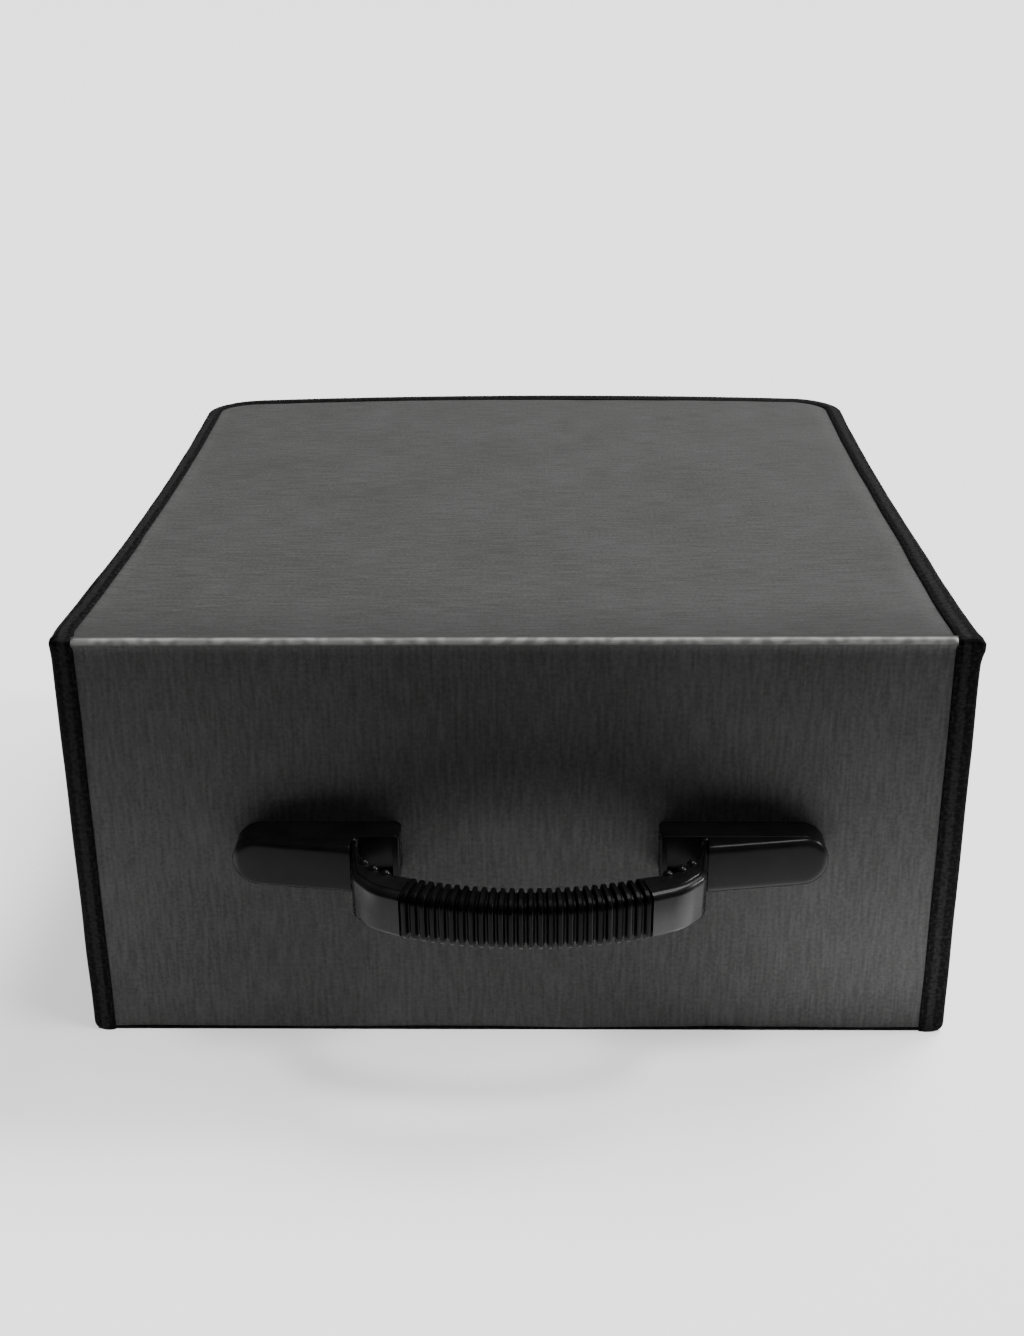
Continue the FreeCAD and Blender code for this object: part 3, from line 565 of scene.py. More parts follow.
foldStart = (0, clothFront, hinge.z - weltRadius - 0.8 * mm)
foldEnd = (0, hinge.y + weltRadius + 0.8 * mm, clothTop)
overFold = ("lid", foldStart, foldEnd)
cover = {
    "underTape": 3.0 * mm, "foot": 1.4 * mm, "columns": 200, "frontRows": 80, "topRows": 150, "foldRows": 16,
    "foldLow": 212, "foldHigh": 62,  # degrees round the welt where the cloth meets and leaves it
    "wave": (70 * mm, 0.5 * mm, 0.0), "fineWave": (17 * mm, 0.1 * mm, 4.0),
    "foldCalm": (4 * mm, 18 * mm), "edgeCalm": (1 * mm, 12 * mm),  # from fold and tape, where the waves begin
    "foldWave": (12 * mm, 0.1 * mm, 8.0),
    "edgeLift": 0.5 * mm, "edgeStart": 1.0 * mm, "edgeWidth": 3.0 * mm,  # a lip beside the lid's left tape
    "puff": 1.3 * mm, "puffStart": 5.0 * mm, "puffLength": 60 * mm,  # a swelling away from the right one
    "rearFade": 16 * mm,  # both die out towards the rear tape
    "foldTuck": 1.5 * mm, "tuckZone": (0.3 * mm, -1.6 * mm),  # the roll flattens where the tape goes over it
}

# Widths of the tape, left (-1) and right (1): on the lid's rear part, at its front corner and on the front

tapeWidths = {-1: (7.2 * mm, 7.6 * mm, 9.5 * mm), 1: (7.4 * mm, 10.2 * mm, 10.3 * mm)}
tapeWidening = (170 * mm, 12 * mm)  # behind the front, where the rear width turns to the corner width


def tapeWidth(side, y, lidShare):
    rearWidth, cornerWidth, frontWidth = tapeWidths[side]
    lidWidth = between(rearWidth, cornerWidth, smooth(*tapeWidening, y - front))
    return between(frontWidth, lidWidth, lidShare)


def coverProfile():
    # (point in the y-z plane, outward direction, how far round the fold) from the foot to the rear
    flank = foldStart[2] - 0.6 * mm
    rows = [(Vector((0, clothFront, z)), -backward, 0.0)
            for z in evenly(cover["foot"], flank, cover["frontRows"])]
    for share in evenly(0.0, 1.0, cover["foldRows"]):
        angle = math.radians(between(cover["foldLow"], cover["foldHigh"], share))
        way = Vector((0, math.cos(angle), math.sin(angle)))
        rows.append((hinge + way * weltRadius, way, math.sin(math.pi * share)))
    first, last = foldEnd[1] + 0.4 * mm, rear - cover["underTape"]
    for share in evenly(0.0, 1.0, cover["topRows"]):
        rows.append((Vector((0, between(first, last, 1 - (1 - share) ** 1.15), clothTop)), upward, 0.0))
    return rows


def coverLift(side, inside, y):
    # how far the lid's cloth stands up at a distance from the tape
    if inside <= 0:
        return 0.0
    if side < 0:
        lift = cover["edgeLift"] * math.exp(-(max(inside - cover["edgeStart"], 0) / cover["edgeWidth"]) ** 2)
    else:
        lift = cover["puff"] * (1 - math.exp(-(inside / cover["puffStart"]) ** 2))
        lift *= math.exp(-(inside / cover["puffLength"]) ** 2)
    return lift * smooth(0.0, cover["rearFade"], rear - y - tapeWidths[side][0])


def coverHeight(x, along, inside, fold):
    # the cloth's waves, calm beside the fold and the tape, and its roll over the welt
    wave = ripple((x, along), *cover["wave"]) + ripple((x, along * 0.3), *cover["fineWave"])
    wave *= smooth(*cover["foldCalm"], abs(along - foldRun)) * smooth(*cover["edgeCalm"], inside)
    roll = ripple((x, 0), *cover["foldWave"]) - cover["foldTuck"] * smooth(*cover["tuckZone"], inside)
    return wave + roll * fold


def makeCover():
    profile = coverProfile()
    lengths = runs([point for point, way, fold in profile])
    rows, widest = [], 0.0
    for (point, way, fold), length in zip(profile, lengths):
        y, along = point.y, cover["foot"] + length
        left, right = rowEnds(y, cover["underTape"])
        widest = max(widest, right - left)
        row = []
        for u in evenly(-1.0, 1.0, cover["columns"]):
            u = math.copysign(1 - (1 - abs(u)) ** 1.5, u)  # closer together towards the sides
            x = (left + right) / 2 + (right - left) / 2 * u
            side = -1 if x - left < right - x else 1
            inside = min(x - left, right - x) + cover["underTape"] - tapeWidth(side, y, onLid(y))
            height = coverLift(side, inside, y) * onLid(y) + coverHeight(x, along, inside, fold)
            crown = upward * (lidCrown(x, y) if way.z > 0.5 and not fold else 0.0)
            row.append((Vector((x, y, point.z)) + way * height + crown, way, (x, along)))
        rows.append(row)
    piece = addPiece("cover_cloth", sheetSkin(rows, case["cloth"]), "case", "cover",
                     ("lid_fabric", "front_fabric", "fold_welt"), overFold)


makeCover()
print("cover made")

# Tape over the lid's edge and down both front edges, in one run

tape = {
    "sideWidth": 8.8 * mm, "frontSideWidth": 9.0 * mm,
    "corner": 3.6 * mm, "cornerSteps": 8, "footRound": 4.0 * mm, "step": 3.0 * mm, "crown": 0.75 * mm,
    "frontBulge": {-1: 0.35 * mm, 1: 0.8 * mm}, "rearBulge": {-1: 0.9 * mm, 1: 1.5 * mm},
    "cornerBulge": {-1: 1.5 * mm, 1: 0.5 * mm},  # on the lid's front third
    "cornerZone": (110 * mm, 60 * mm), "frontTurn": (0.0, 16 * mm),  # the bulge changes so far from the front
    "widthWave": (45 * mm, 0.5 * mm, 3.0), "crownWave": (17 * mm, 0.2 * mm, 5.0),
    "bulgeWave": (28 * mm, 0.25 * mm, 9.0),
    "tuck": {-1: 0.5 * mm, 1: 1.7 * mm}, "tuckLength": 4.5 * mm, "tuckBelow": {-1: 2.0 * mm, 1: 5.0 * mm},
}


def tapeStations():
    # edge point, outward, upward, end of the side leg and how far a station is on the lid (0 to 1)
    legY, legZ = front + tape["frontSideWidth"], top - tape["sideWidth"]
    radius, step = tape["corner"], tape["step"]
    heights = [0.0, 0.6 * mm, 1.5 * mm] + evenly(step, top - radius, round((top - radius) / step))[:-1]
    ends = {}
    for side in (-1, 1):
        x, out = sideX(side, front), Vector((side, 0, 0))
        ends[side] = [(Vector((x, front, z)), out, -backward, Vector((x, legY, min(z, legZ))), 0.0)
                      for z in heights]
        for share in evenly(0.0, 1.0, tape["cornerSteps"]):
            angle = math.pi * (1 - share / 2)
            up = Vector((0, math.cos(angle), math.sin(angle)))
            origin = Vector((x, front + radius, top - radius)) + up * radius
            ends[side].append((origin, out, up, Vector((x, legY, legZ)), share))
    lidRun = []
    for p, way in planPath(front + radius + step, step=step):
        crown = lidCrown(p.x, p.y)
        leg = Vector((p.x, max(p.y, legY), legZ + crown / 2))
        lidRun.append((Vector((p.x, p.y, top + crown)), way, upward, leg, 1.0))
    return ends[-1] + lidRun + ends[1][::-1]


def tapeBulge(origin, side, lidShare, atFront, place):
    # how far the tape stands out from the case at a station
    nearCorner = smooth(*tape["cornerZone"], origin.y - front)
    lidBulge = between(tape["rearBulge"][side], tape["cornerBulge"][side], nearCorner)
    turn = smooth(*tape["frontTurn"], origin.y - front) if lidShare else 0.0
    bulge = between(tape["frontBulge"][side], lidBulge, turn) + ripple((place, 0), *tape["bulgeWave"])
    if atFront:
        corner = math.hypot(origin.z - top + tape["tuckBelow"][side], origin.y - front)
        bulge += tape["tuck"][side] * math.exp(-(corner / tape["tuckLength"]) ** 2)
    radius = tape["footRound"]
    if lidShare == 0.0 and origin.z < radius:
        bulge -= radius - math.sqrt(max(radius ** 2 - (radius - origin.z) ** 2, 0.0))
    return bulge


def tapeRing(origin, out, up, leg, lidShare, place):
    # the tape's section at a station: a crowned face leg, a round corner and the side leg
    atFront = abs(out.x) > 0.98 and origin.y < 0
    side = -1 if out.x < 0 else 1
    width = tapeWidth(side, origin.y, onLid(origin.y) if lidShare else 0.0)
    width += ripple((place, 0), *tape["widthWave"])
    bulge = tapeBulge(origin, side, lidShare, atFront, place)
    crown = tape["crown"] + ripple((place, 0), *tape["crownWave"])
    base = -(case["tape"] + 0.05 * mm)
    face = [(-width, base), (-width, -0.9 * mm), (-width + 0.3 * mm, -0.62 * mm),
            (-width + 1.0 * mm, -crown * 0.55), (-width * 0.72, -crown * 0.2), (-width * 0.5, 0.0),
            (-width * 0.32, -crown * 0.1), (-1.5 * mm, -crown * 0.35), (-0.75 * mm, -0.62 * mm),
            (-0.25 * mm, -1.1 * mm), (0.0, -1.8 * mm)]
    ring = [origin + out * (a + bulge * (1 + a / width)) + up * b for a, b in face]
    edge = origin + out * bulge
    end = Vector((edge.x, leg.y if atFront else edge.y, leg.z))
    for share, lift in ((0.25, 0.12), (0.5, 0.15), (0.75, 0.05), (0.93, -0.2), (1.0, -0.6)):
        ring.append(ring[len(face) - 1].lerp(end, share) + out * lift * mm)
    return ring + [end + out * (base - bulge), edge + out * (base - bulge) + up * base]


def makeTape():
    stations = tapeStations()
    places = runs([station[0] for station in stations])
    rings = [tapeRing(*station, place) for station, place in zip(stations, places)]
    piece = addPiece("edge_tape_upper", loft(rings), "case", "tape",
                     ("lid_tape", "front_left_tape", "front_right_tape"), overFold, sharp=50)
    line = [ring[3] + station[2] * 0.05 * mm for ring, station in zip(rings, stations)]
    seam = addSeam("edge_tape_seam", line, overFold)


makeTape()
print("tape made")

# Binding round the foot of the case, with the thin lip that shows under the front

binding = {
    "sole": 6.5 * mm, "low": 1.2 * mm, "turnTop": 13.0 * mm, "step": 4.0 * mm,
    "bulgeWave": (30 * mm, 0.3 * mm, 2.0), "edgeWave": (40 * mm, 0.3 * mm, 6.0),
    "lipRise": 1.8 * mm, "lipOut": 0.35 * mm, "lipWave": (35 * mm, 0.3 * mm, 7.0),
    "seamIn": 2.05 * mm, "seamBelow": 2.0 * mm,
}


def bindingSection(along):
    # (out, up) pairs: under the sole, round the foot, up the wall to the turned edge and back inside
    bulge = ripple((along, 0), *binding["bulgeWave"])
    turn = binding["turnTop"] + ripple((along, 0), *binding["edgeWave"])
    inner = 0.02 * mm - case["wallInset"]
    return [(-binding["sole"], 0.0), (-1.6 * mm, 0.0), (-0.6 * mm, 0.25 * mm), (-0.12 * mm, 0.9 * mm),
            (0.0, 2.0 * mm), (bulge - 0.1 * mm, 4.6 * mm), (bulge - 0.5 * mm, 7.0 * mm),
            (-1.5 * mm, turn - 3.0 * mm), (-2.6 * mm, turn - 1.0 * mm), (-3.0 * mm, turn - 0.2 * mm),
            (-3.3 * mm, turn), (inner, turn), (inner, boardLow + 3.1 * mm), (-1.22 * mm, boardLow + 2.9 * mm),
            (-1.22 * mm, binding["low"]), (-binding["sole"], binding["low"])]


def lipSection(x):
    outside, inside = clothFront - binding["lipOut"], clothFront + 0.7 * mm
    high = binding["lipRise"] + ripple((x, 0), *binding["lipWave"])
    return [Vector((x, y, z)) for y, z in (
        (inside, 0.0), (outside + 0.4 * mm, 0.0), (outside, 0.35 * mm), (outside, high - 0.3 * mm),
        (outside + 0.25 * mm, high), (inside, high))]


def makeBinding():
    path = planPath(boardBack, step=binding["step"])
    lengths = runs([point for point, way in path])
    around = loft([[point + way * out + upward * up for out, up in bindingSection(along)]
                   for (point, way), along in zip(path, lengths)])
    limit = case["width"] / 2 - tapeWidths[-1][2] + 0.5 * mm
    lip = loft([lipSection(x) for x in evenly(-limit, limit, round(2 * limit / binding["step"]))])
    piece = addPiece("edge_tape_lower", joinSkins([around, lip]), "case", "tape",
                     ("base_tape",), sharp=50)
    seamLevel = upward * (binding["turnTop"] - binding["seamBelow"])
    line = [p - way * binding["seamIn"] + seamLevel for p, way in path]
    seam = addSeam("edge_tape_lower_seam", line)


makeBinding()
print("binding made")

# Cloth round the sides and the rear, with its hem over the rim, and cloth under the case

wall = {
    "foot": 4.4 * mm, "hem": 3.7 * mm, "rows": 60, "wave": (60 * mm, 0.35 * mm, 11.0), "fade": 12 * mm,
    "thickness": 0.22 * mm, "startIn": 0.3 * mm, "rimUp": 0.25 * mm,
}
bottom = {
    "inset": 5.0 * mm, "steps": 90, "rise": 0.45 * mm, "wave": (50 * mm, 0.5 * mm, 21.0), "fade": 20 * mm,
    "thickness": 0.6 * mm,
}


def makeWallCloth():
    rim, inset = rimLevel + wall["rimUp"], case["wallInset"]
    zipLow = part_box("lower_zip_tape")[0].z
    profile = [(-inset, z, 0.0) for z in evenly(wall["foot"], rim - 1.0 * mm, wall["rows"])]
    profile += [(-inset - 0.12 * mm, rim - 0.4 * mm, 0.35), (-inset - 0.4 * mm, rim - 0.1 * mm, 0.75),
                (-inset - 0.9 * mm, rim, 1.0), (-inset - wall["hem"], rim, 1.0)]

    def waveAt(along, up, turn):
        # only where the cloth shows, between the binding and the zip
        shown = smooth(0, wall["fade"], up - binding["turnTop"]) * smooth(0, wall["fade"], zipLow - up)
        return ripple((along, up), *wall["wave"]) * shown

    rows, flat = wrapRows(planPath(boardBack + wall["startIn"]), profile, waveAt)
    piece = addPiece("wall_cloth", sheetSkin(rows, wall["thickness"]), "case", "wallCover",
                     ("wall_fabric",))


def makeBottomCloth():
    low, high = clothFront + case["cloth"], rear - bottom["inset"]

    def levelAt(x, y, fromSide):
        calm = smooth(0, bottom["fade"], min(fromSide, high - y))
        return bottom["rise"] + abs(ripple((x, y), *bottom["wave"])) * calm

    rows = planRows(low, high, bottom["inset"], bottom["steps"], levelAt)
    piece = addPiece("bottom_cloth", sheetSkin(rows, bottom["thickness"]), "case", "wallCover",
                     ("bottom_fabric",))


makeWallCloth()
makeBottomCloth()
print("wall and bottom cloth made")

# Handle: points are given from its middle, outwards along the front and away from it

handle = {
    "x": 6.5 * mm, "z": 96.6 * mm, "seat": 12.75 * mm, "droop": 5.0,  # degrees
    "mouth": 77.4 * mm, "thickness": 5.6 * mm, "width": 21.6 * mm, "webLower": 0.6 * mm,
    "endX": 50.2 * mm, "endRise": 34.6 * mm, "endDepth": 15.6 * mm, "bow": 7.6 * mm,
    "gripShift": -1.3 * mm,  # the grip sits a little to the left of the handle's middle
}
bowRadius = (handle["endX"] ** 2 + handle["bow"] ** 2) / (2 * handle["bow"])
bowTurn = math.asin(handle["endX"] / bowRadius)
endRise = handle["seat"] + handle["endRise"]
web = {
    "stations": 150, "edgeRound": 2.8 * mm,
    "groove": 0.5 * mm, "grooveWidth": 0.45 * mm, "grooveIn": 3.8 * mm,
    # places of the bends, as shares of the way from the mouth to the sleeve, and their radii
    "outer": (((0.03, 0.0), (0.13, 0.64), (0.47, 0.87)), (0.6 * mm, 8 * mm, 25 * mm)),
    "inner": (((0.03, 0.0), (0.25, 0.60), (0.52, 0.88)), (0.7 * mm, 8 * mm, 20 * mm)),
    "beadRadius": 1.7 * mm, "beadShares": (0.07, 0.48, 0.62, 0.76),
    "domeRadius": 2.3 * mm, "domeSink": 0.9 * mm, "domeIn": 1.1 * mm,
}


def handlePoint(x, rise, across, side=1):
    # place of a point of the drooping bow: x along the front, rise away from it, across upwards
    tilt = math.radians(handle["droop"])
    out = rise - handle["seat"]
    return Vector((handle["x"] + side * x,
                   clothFront - handle["seat"] - out * math.cos(tilt) - across * math.sin(tilt),
                   handle["z"] - out * math.sin(tilt) + across * math.cos(tilt)))


def roundedLine(corners, radii, count, spacing=0.35 * mm):
    # points along straight runs with an arc at each inner corner, picked from evenly spaced ones
    line = [corners[0]]
    for before, corner, after, radius in zip(corners, corners[1:], corners[2:], radii):
        a, b = (before - corner).normalized(), (after - corner).normalized()
        half = a.angle(b) / 2
        centre = corner + (a + b).normalized() * radius / math.sin(half)
        start, end = corner + a * radius / math.tan(half), corner + b * radius / math.tan(half)
        line += [centre + (start.lerp(end, i / 16) - centre).normalized() * radius for i in range(17)]
    line.append(corners[-1])
    lengths = runs(line)
    wanted = evenly(0.0, lengths[-1], round(lengths[-1] / spacing))
    even = [line[k].lerp(line[k + 1], share) for k, share in findSpots(lengths, wanted)]
    return [even[round(i * (len(even) - 1) / count)] for i in range(count + 1)]


def webLines(side):
    # the web's outer and inner outline, as (x, rise) points from the mouth to the sleeve
    middle = Vector((handle["endX"] + side * handle["gripShift"], endRise))
    halfEnd = Vector((math.sin(bowTurn), math.cos(bowTurn))) * handle["endDepth"] / 2
    lines = []
    for sign, (shares, radii) in ((1, web["outer"]), (-1, web["inner"])):
        start = Vector((handle["mouth"], handle["seat"] + sign * handle["thickness"] / 2))
        end = middle + halfEnd * sign
        way = end - start
        corners = [start] + [Vector((start.x + way.x * a, start.y + way.y * b)) for a, b in shares] + [end]
        lines.append(roundedLine(corners, radii, web["stations"]))
    return lines


def dome(place, across, side):
    # the round end of a bead, standing a little above the strap's edge; its first ring closes it from within
    rings = []
    for share in (0.5, 0.0, 0.35, 0.6, 0.8, 0.92, 0.985):
        reach = web["domeRadius"] * math.sqrt(1 - share * share)
        height = across + math.copysign(web["domeRadius"] * share, across)  # outwards on either edge
        turns = [2 * math.pi * k / 12 for k in range(12)]
        rings.append([handlePoint(place.x + reach * math.cos(t), place.y + reach * math.sin(t), height, side)
                      for t in turns])
    return loft(rings)


def webRing(o, n, side):
    # the strap's section between its outer and inner outline, with a groove along each edge
    middle, half, across = (o + n) / 2, (o - n).length / 2, (o - n).normalized()
    high, near = handle["width"] / 2, 0.01 * mm
    section = roundedBox(half, high, web["edgeRound"])
    ring = []
    for (a, b), (nextA, nextB) in zip(section, section[1:] + section[:1]):
        ring.append((a, b))
        if abs(b) > high - near and abs(nextB - b) < near:  # the flat stretch of an edge
            for step, depth in ((-1, 0), (0, 1), (1, 0)):
                shift = step * web["grooveWidth"] * (1 if nextA > a else -1)
                sunk = math.copysign(abs(b) - depth * web["groove"], b)
                ring.append((half - web["grooveIn"] + shift, sunk))
    return [handlePoint(*(middle + across * a), b - handle["webLower"], side) for a, b in ring]


def makeWeb(name, side):
    outer, inner = webLines(side)
    lengths = runs(inner)
    beads = [lengths[-1] * share for share in web["beadShares"]]
    rings = []
    for i, (o, n) in enumerate(zip(outer, inner)):
        raised = max(math.sqrt(max(web["beadRadius"] ** 2 - (lengths[i] - bead) ** 2, 0.0)) for bead in beads)
        along = (inner[min(i + 1, len(inner) - 1)] - inner[max(i - 1, 0)]).normalized()
        away = Vector((along.y, -along.x))
        away *= -1 if away.dot(n - o) < 0 else 1
        rings.append(webRing(o, n + away * raised, side))
    domes = []
    for bead in beads:
        spot = min(range(len(lengths)), key=lambda i: abs(lengths[i] - bead))
        place = inner[spot] + (outer[spot] - inner[spot]).normalized() * web["domeIn"]
        edge = handle["width"] / 2 - web["domeSink"]
        domes += [dome(place, sign * edge - handle["webLower"], side) for sign in (-1, 1)]
    mouth = handlePoint(handle["mouth"], handle["seat"], 0, side)
    end = handlePoint(handle["endX"] + side * handle["gripShift"], endRise, 0, side)
    addPiece("web_" + name, joinSkins([loft(rings)] + domes), "case", "strap",
             ("strap_web_" + name,), ("grip", tuple(mouth), tuple(end)), sharp=35)


sleeve = {
    "ribs": 26, "ribShare": 0.53, "slope": 0.14, "stationsPerRib": 12, "lower": 0.8 * mm,
    "uneven": (3.0, 0.1 * mm, 40.0),  # a wave whose size is in stations
    "depths": (13.0 * mm, 16.4 * mm), "widths": (20.0 * mm, 23.6 * mm), "rounds": (3.6 * mm, 4.8 * mm),
}  # depth, width and edge radius are given between the ribs and on them


def makeSleeve():
    centreRise = endRise + handle["bow"] - bowRadius
    count = sleeve["ribs"] * sleeve["stationsPerRib"]
    gap = (1 - sleeve["ribShare"]) / 2
    rings = []
    for i, angle in enumerate(evenly(-bowTurn, bowTurn, count)):
        phase = (i / sleeve["stationsPerRib"]) % 1.0
        rib = smooth(gap - sleeve["slope"], gap + sleeve["slope"] * 0.6, min(phase, 1 - phase))
        if i in (0, count):
            rib = 0.0
        halfA = between(*sleeve["depths"], rib) / 2 + ripple((i, 0), *sleeve["uneven"]) * rib
        section = roundedBox(halfA, between(*sleeve["widths"], rib) / 2, between(*sleeve["rounds"], rib), 6)
        rings.append([handlePoint((bowRadius + a) * math.sin(angle) + handle["gripShift"],
                                  centreRise + (bowRadius + a) * math.cos(angle), b - sleeve["lower"])
                      for a, b in section])
    addPiece("ribbed_sleeve", loft(rings), "grip", "grip", ("grip_sleeve",), sharp=50)


hood = {
    "start": {-1: 76.8 * mm, 1: 76.2 * mm}, "end": 129.0 * mm, "half": 11.5 * mm, "low": 13.4 * mm,
    "riseInner": 23.2 * mm, "riseOuter": 15.0 * mm, "edgeRound": 3.0 * mm, "mouthRound": 0.5 * mm,
    "wall": 0.9 * mm, "crown": 0.2 * mm, "weld": 0.02 * mm,
}


def hoodPath(side):
    # (x, across) from the mouth's lower corner round the outer end to its upper corner
    half, corner, start = hood["half"], hood["mouthRound"], hood["start"][side]
    centre = hood["end"] - half
    line = [(start + corner * (1 - math.sin(a)), -half + corner * (1 - math.cos(a)))
            for a in evenly(math.pi / 2, 0.0, 4)]
    line += [(x, -half) for x in evenly(start + corner, centre, 14)[1:]]
    line += [(centre + half * math.sin(a), -half * math.cos(a)) for a in evenly(0.0, math.pi / 2, 16)[1:]]
    return line + [(x, -across) for x, across in line[-2::-1]]


def hoodPoint(place, inset, share, angle, thick, side):
    # a place on the outside of the shell, or on its inside where thick is the wall; unlike the strap it
    # stands square on the front
    half, start, radius = hood["half"], hood["start"][side], hood["edgeRound"]
    x, across = place
    t = min((inset + thick * math.cos(angle)) / half, 1.0)
    x = between(x, min(x, hood["end"] - half), t)
    roof = between(hood["riseInner"], hood["riseOuter"], (x - start) / (hood["end"] - start))
    roof += hood["crown"] * (1 - (1 - t) ** 2)
    edge = max(roof - radius, hood["low"] + 0.3 * mm)
    rise = between(hood["low"], edge, share) + (roof - edge - thick) * math.sin(angle)
    return Vector((handle["x"] + side * x, clothFront - rise, handle["z"] + across * (1 - t)))


def makeHood(name, side):
    # a moulded shell over the strap's end, highest at its open mouth, with a soft edge round its face
    path = hoodPath(side)
    half, radius = hood["half"], hood["edgeRound"]
    profile = [(0.0, 0.0, 0.0), (0.0, 0.5, 0.0)]  # inset, share of the wall's height, turn of the surface
    profile += [(radius * (1 - math.cos(a)), 1.0, a) for a in evenly(0.0, math.pi / 2, 8)]
    profile += [(inset, 1.0, math.pi / 2) for inset in evenly(radius, half, 8)[1:]]
    points = [hoodPoint(place, *turn, thick, side)
              for thick in (0.0, hood["wall"]) for turn in profile for place in path]
    skin = shellSkin(points, [(p.x, p.z) for p in points], len(path), endWall=False)
    addPiece("hood_" + name, skin, "case", "housing", ("handle_hood_" + name,), sharp=50,
             weld=hood["weld"])


for name, side in (("left", -1), ("right", 1)):
    makeWeb(name, side)
    makeHood(name, side)
makeSleeve()
print("handle made")

# Zip: two woven tapes, each with a wound coil

zipper = {
    "tapeOut": 1.25 * mm, "thickness": 0.53 * mm, "tapeWave": (30 * mm, 0.2 * mm, 50.0), "pitch": 2.2 * mm,
    "wire": 0.34 * mm, "turnSteps": 8, "coilHalf": 0.66 * mm, "coilInset": 1.3 * mm, "seamRise": 1.6 * mm,
    "seamIn": 1.2 * mm,
    "underCoil": 0.5 * mm, "mesh": 0.65 * mm,  # reach of a tape under its coil and of a coil into the other
    "tapeShort": 0.2 * mm, "coilShort": 0.1 * mm,
}


def zipSpan(replaced, down, up):
    # front end, low edge and high edge of a zip part that reaches past its solid
    low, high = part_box(replaced)
    return low.y, low.z - down, high.z + up


def makeZipTape(name, body, replaced, down, up):
    start, low, high = zipSpan(replaced, down, up)
    path = planPath(start)
    profile = [(-zipper["tapeOut"], z, 0.0) for z in evenly(low, high, 8)]
    rows, flat = wrapRows(path, profile, lambda along, z, turn:
                          -abs(ripple((along, z), *zipper["tapeWave"])), start=low)
    piece = addPiece(name, sheetSkin(rows, zipper["thickness"]), body, "zipTape", (replaced,))
    return path


def makeCoil(name, body, replaced, down, up, shift):
    # a wound coil along the zip, a turn to each pitch
    start, low, high = zipSpan(replaced, down, up)
    path = planPath(start, step=2 * mm)
    lengths = runs([point for point, way in path])
    count = int(lengths[-1] / zipper["pitch"]) - 1
    turns = evenly(0.0, float(count), count * zipper["turnSteps"])
    wanted = [min((turn + shift + 0.3) * zipper["pitch"], lengths[-1]) for turn in turns]
    middle, half = (low + high) / 2, (high - low) / 2 - zipper["wire"]
    rings = []
    for turn, (k, share) in zip(turns, findSpots(lengths, wanted)):
        point, way = [path[k][part].lerp(path[k + 1][part], share) for part in (0, 1)]
        out, rise = math.cos(2 * math.pi * turn), math.sin(2 * math.pi * turn)
        place = point + way * (out * zipper["coilHalf"] - zipper["coilInset"])
        place += upward * (middle + half * rise)
        radial = (way * out + upward * rise).normalized()
        side = upward.cross(way).normalized()
        rings.append([place + (radial * math.cos(t) + side * math.sin(t)) * zipper["wire"]
                      for t in (0.0, math.pi / 2, math.pi, math.pi * 1.5)])
    addPiece(name, loft(rings), body, "nylon", (replaced,), sharp=80)


def makeZip():
    under, mesh = zipper["underCoil"], zipper["mesh"]
    makeZipTape("zip_tape_upper", "lid", "upper_zip_tape", under, -zipper["tapeShort"])
    path = makeZipTape("zip_tape_lower", "case", "lower_zip_tape", 0.0, under)
    seamLevel = upward * (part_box("lower_zip_tape")[0].z + zipper["seamRise"])
    addSeam("zip_seam", [p - way * zipper["seamIn"] + seamLevel for p, way in path])
    makeCoil("zip_coil_upper", "lid", "upper_zip_teeth", mesh, -zipper["coilShort"], 0.0)
    makeCoil("zip_coil_lower", "case", "lower_zip_teeth", -zipper["coilShort"], mesh, 0.5)


makeZip()
print("zip made")

# Padded plush inside: floor, front, walls and lid, and a strip of it that closes the gap behind the welt

padding = {
    "crown": 2.6 * mm, "edge": 10 * mm, "thickness": 0.8 * mm, "steps": 80,
    "crease": (45 * mm, 0.7 * mm), "fineCrease": (16 * mm, 0.21 * mm),  # size and height
    "wallThickness": 0.6 * mm, "wallSwell": 0.8, "wallRows": 30, "rimRound": 3 * mm, "rimUp": 0.05 * mm,
    "plugInset": 17.8 * mm, "faceInset": 4 * mm, "margin": 0.6 * mm, "marginSteps": 60,
    "marginWave": (12 * mm, 0.08 * mm, 130.0), "marginGap": 0.12 * mm,
}


def swell(edge, x, y, seed):
    # how far plush stands out at a distance from its nearest edge
    creases = ripple((x, y), *padding["crease"], seed) + ripple((x, y), *padding["fineCrease"], seed + 5)
    return (1 - math.exp(-max(edge, 0.0) / padding["edge"])) * (padding["crown"] + creases)


def eased(low, high, steps):
    # places that lie closer together towards both ends
    turns = [smooth(-0.35, 1.35, share) for share in evenly(0.0, 1.0, steps)]
    return [between(low, high, (turn - turns[0]) / (turns[-1] - turns[0])) for turn in turns]


def makePanel(name, body, replaced, low, high, inset, level, way, seed):
    # a padded panel over the plan between two depths, swelling up (way 1) or down (way -1)
    rows = planRows(low, high, inset, padding["steps"], lambda x, y, fromSide:
                    level + way * swell(min(fromSide, y - low, high - y), x, y, seed),
                    facing=way, spacing=eased)
    return addPiece(name, sheetSkin(rows, padding["thickness"]), body, "plush", replaced)


def plushProfile(low, face, way, end):
    # (place in depth, height, turn) of upright plush that is turned over the rim towards way
    profile = [(face, z, 0.0) for z in evenly(low, rimLevel - padding["rimRound"], padding["wallRows"])]
    profile += [(face + way * back, rimLevel + up, turn) for back, up, turn in (
        (0.5 * mm, -1.4 * mm, 0.3), (1.6 * mm, -0.35 * mm, 0.8), (3.4 * mm, padding["rimUp"], 1.0))]
    return profile + [(end, rimLevel + padding["rimUp"], 1.0)]


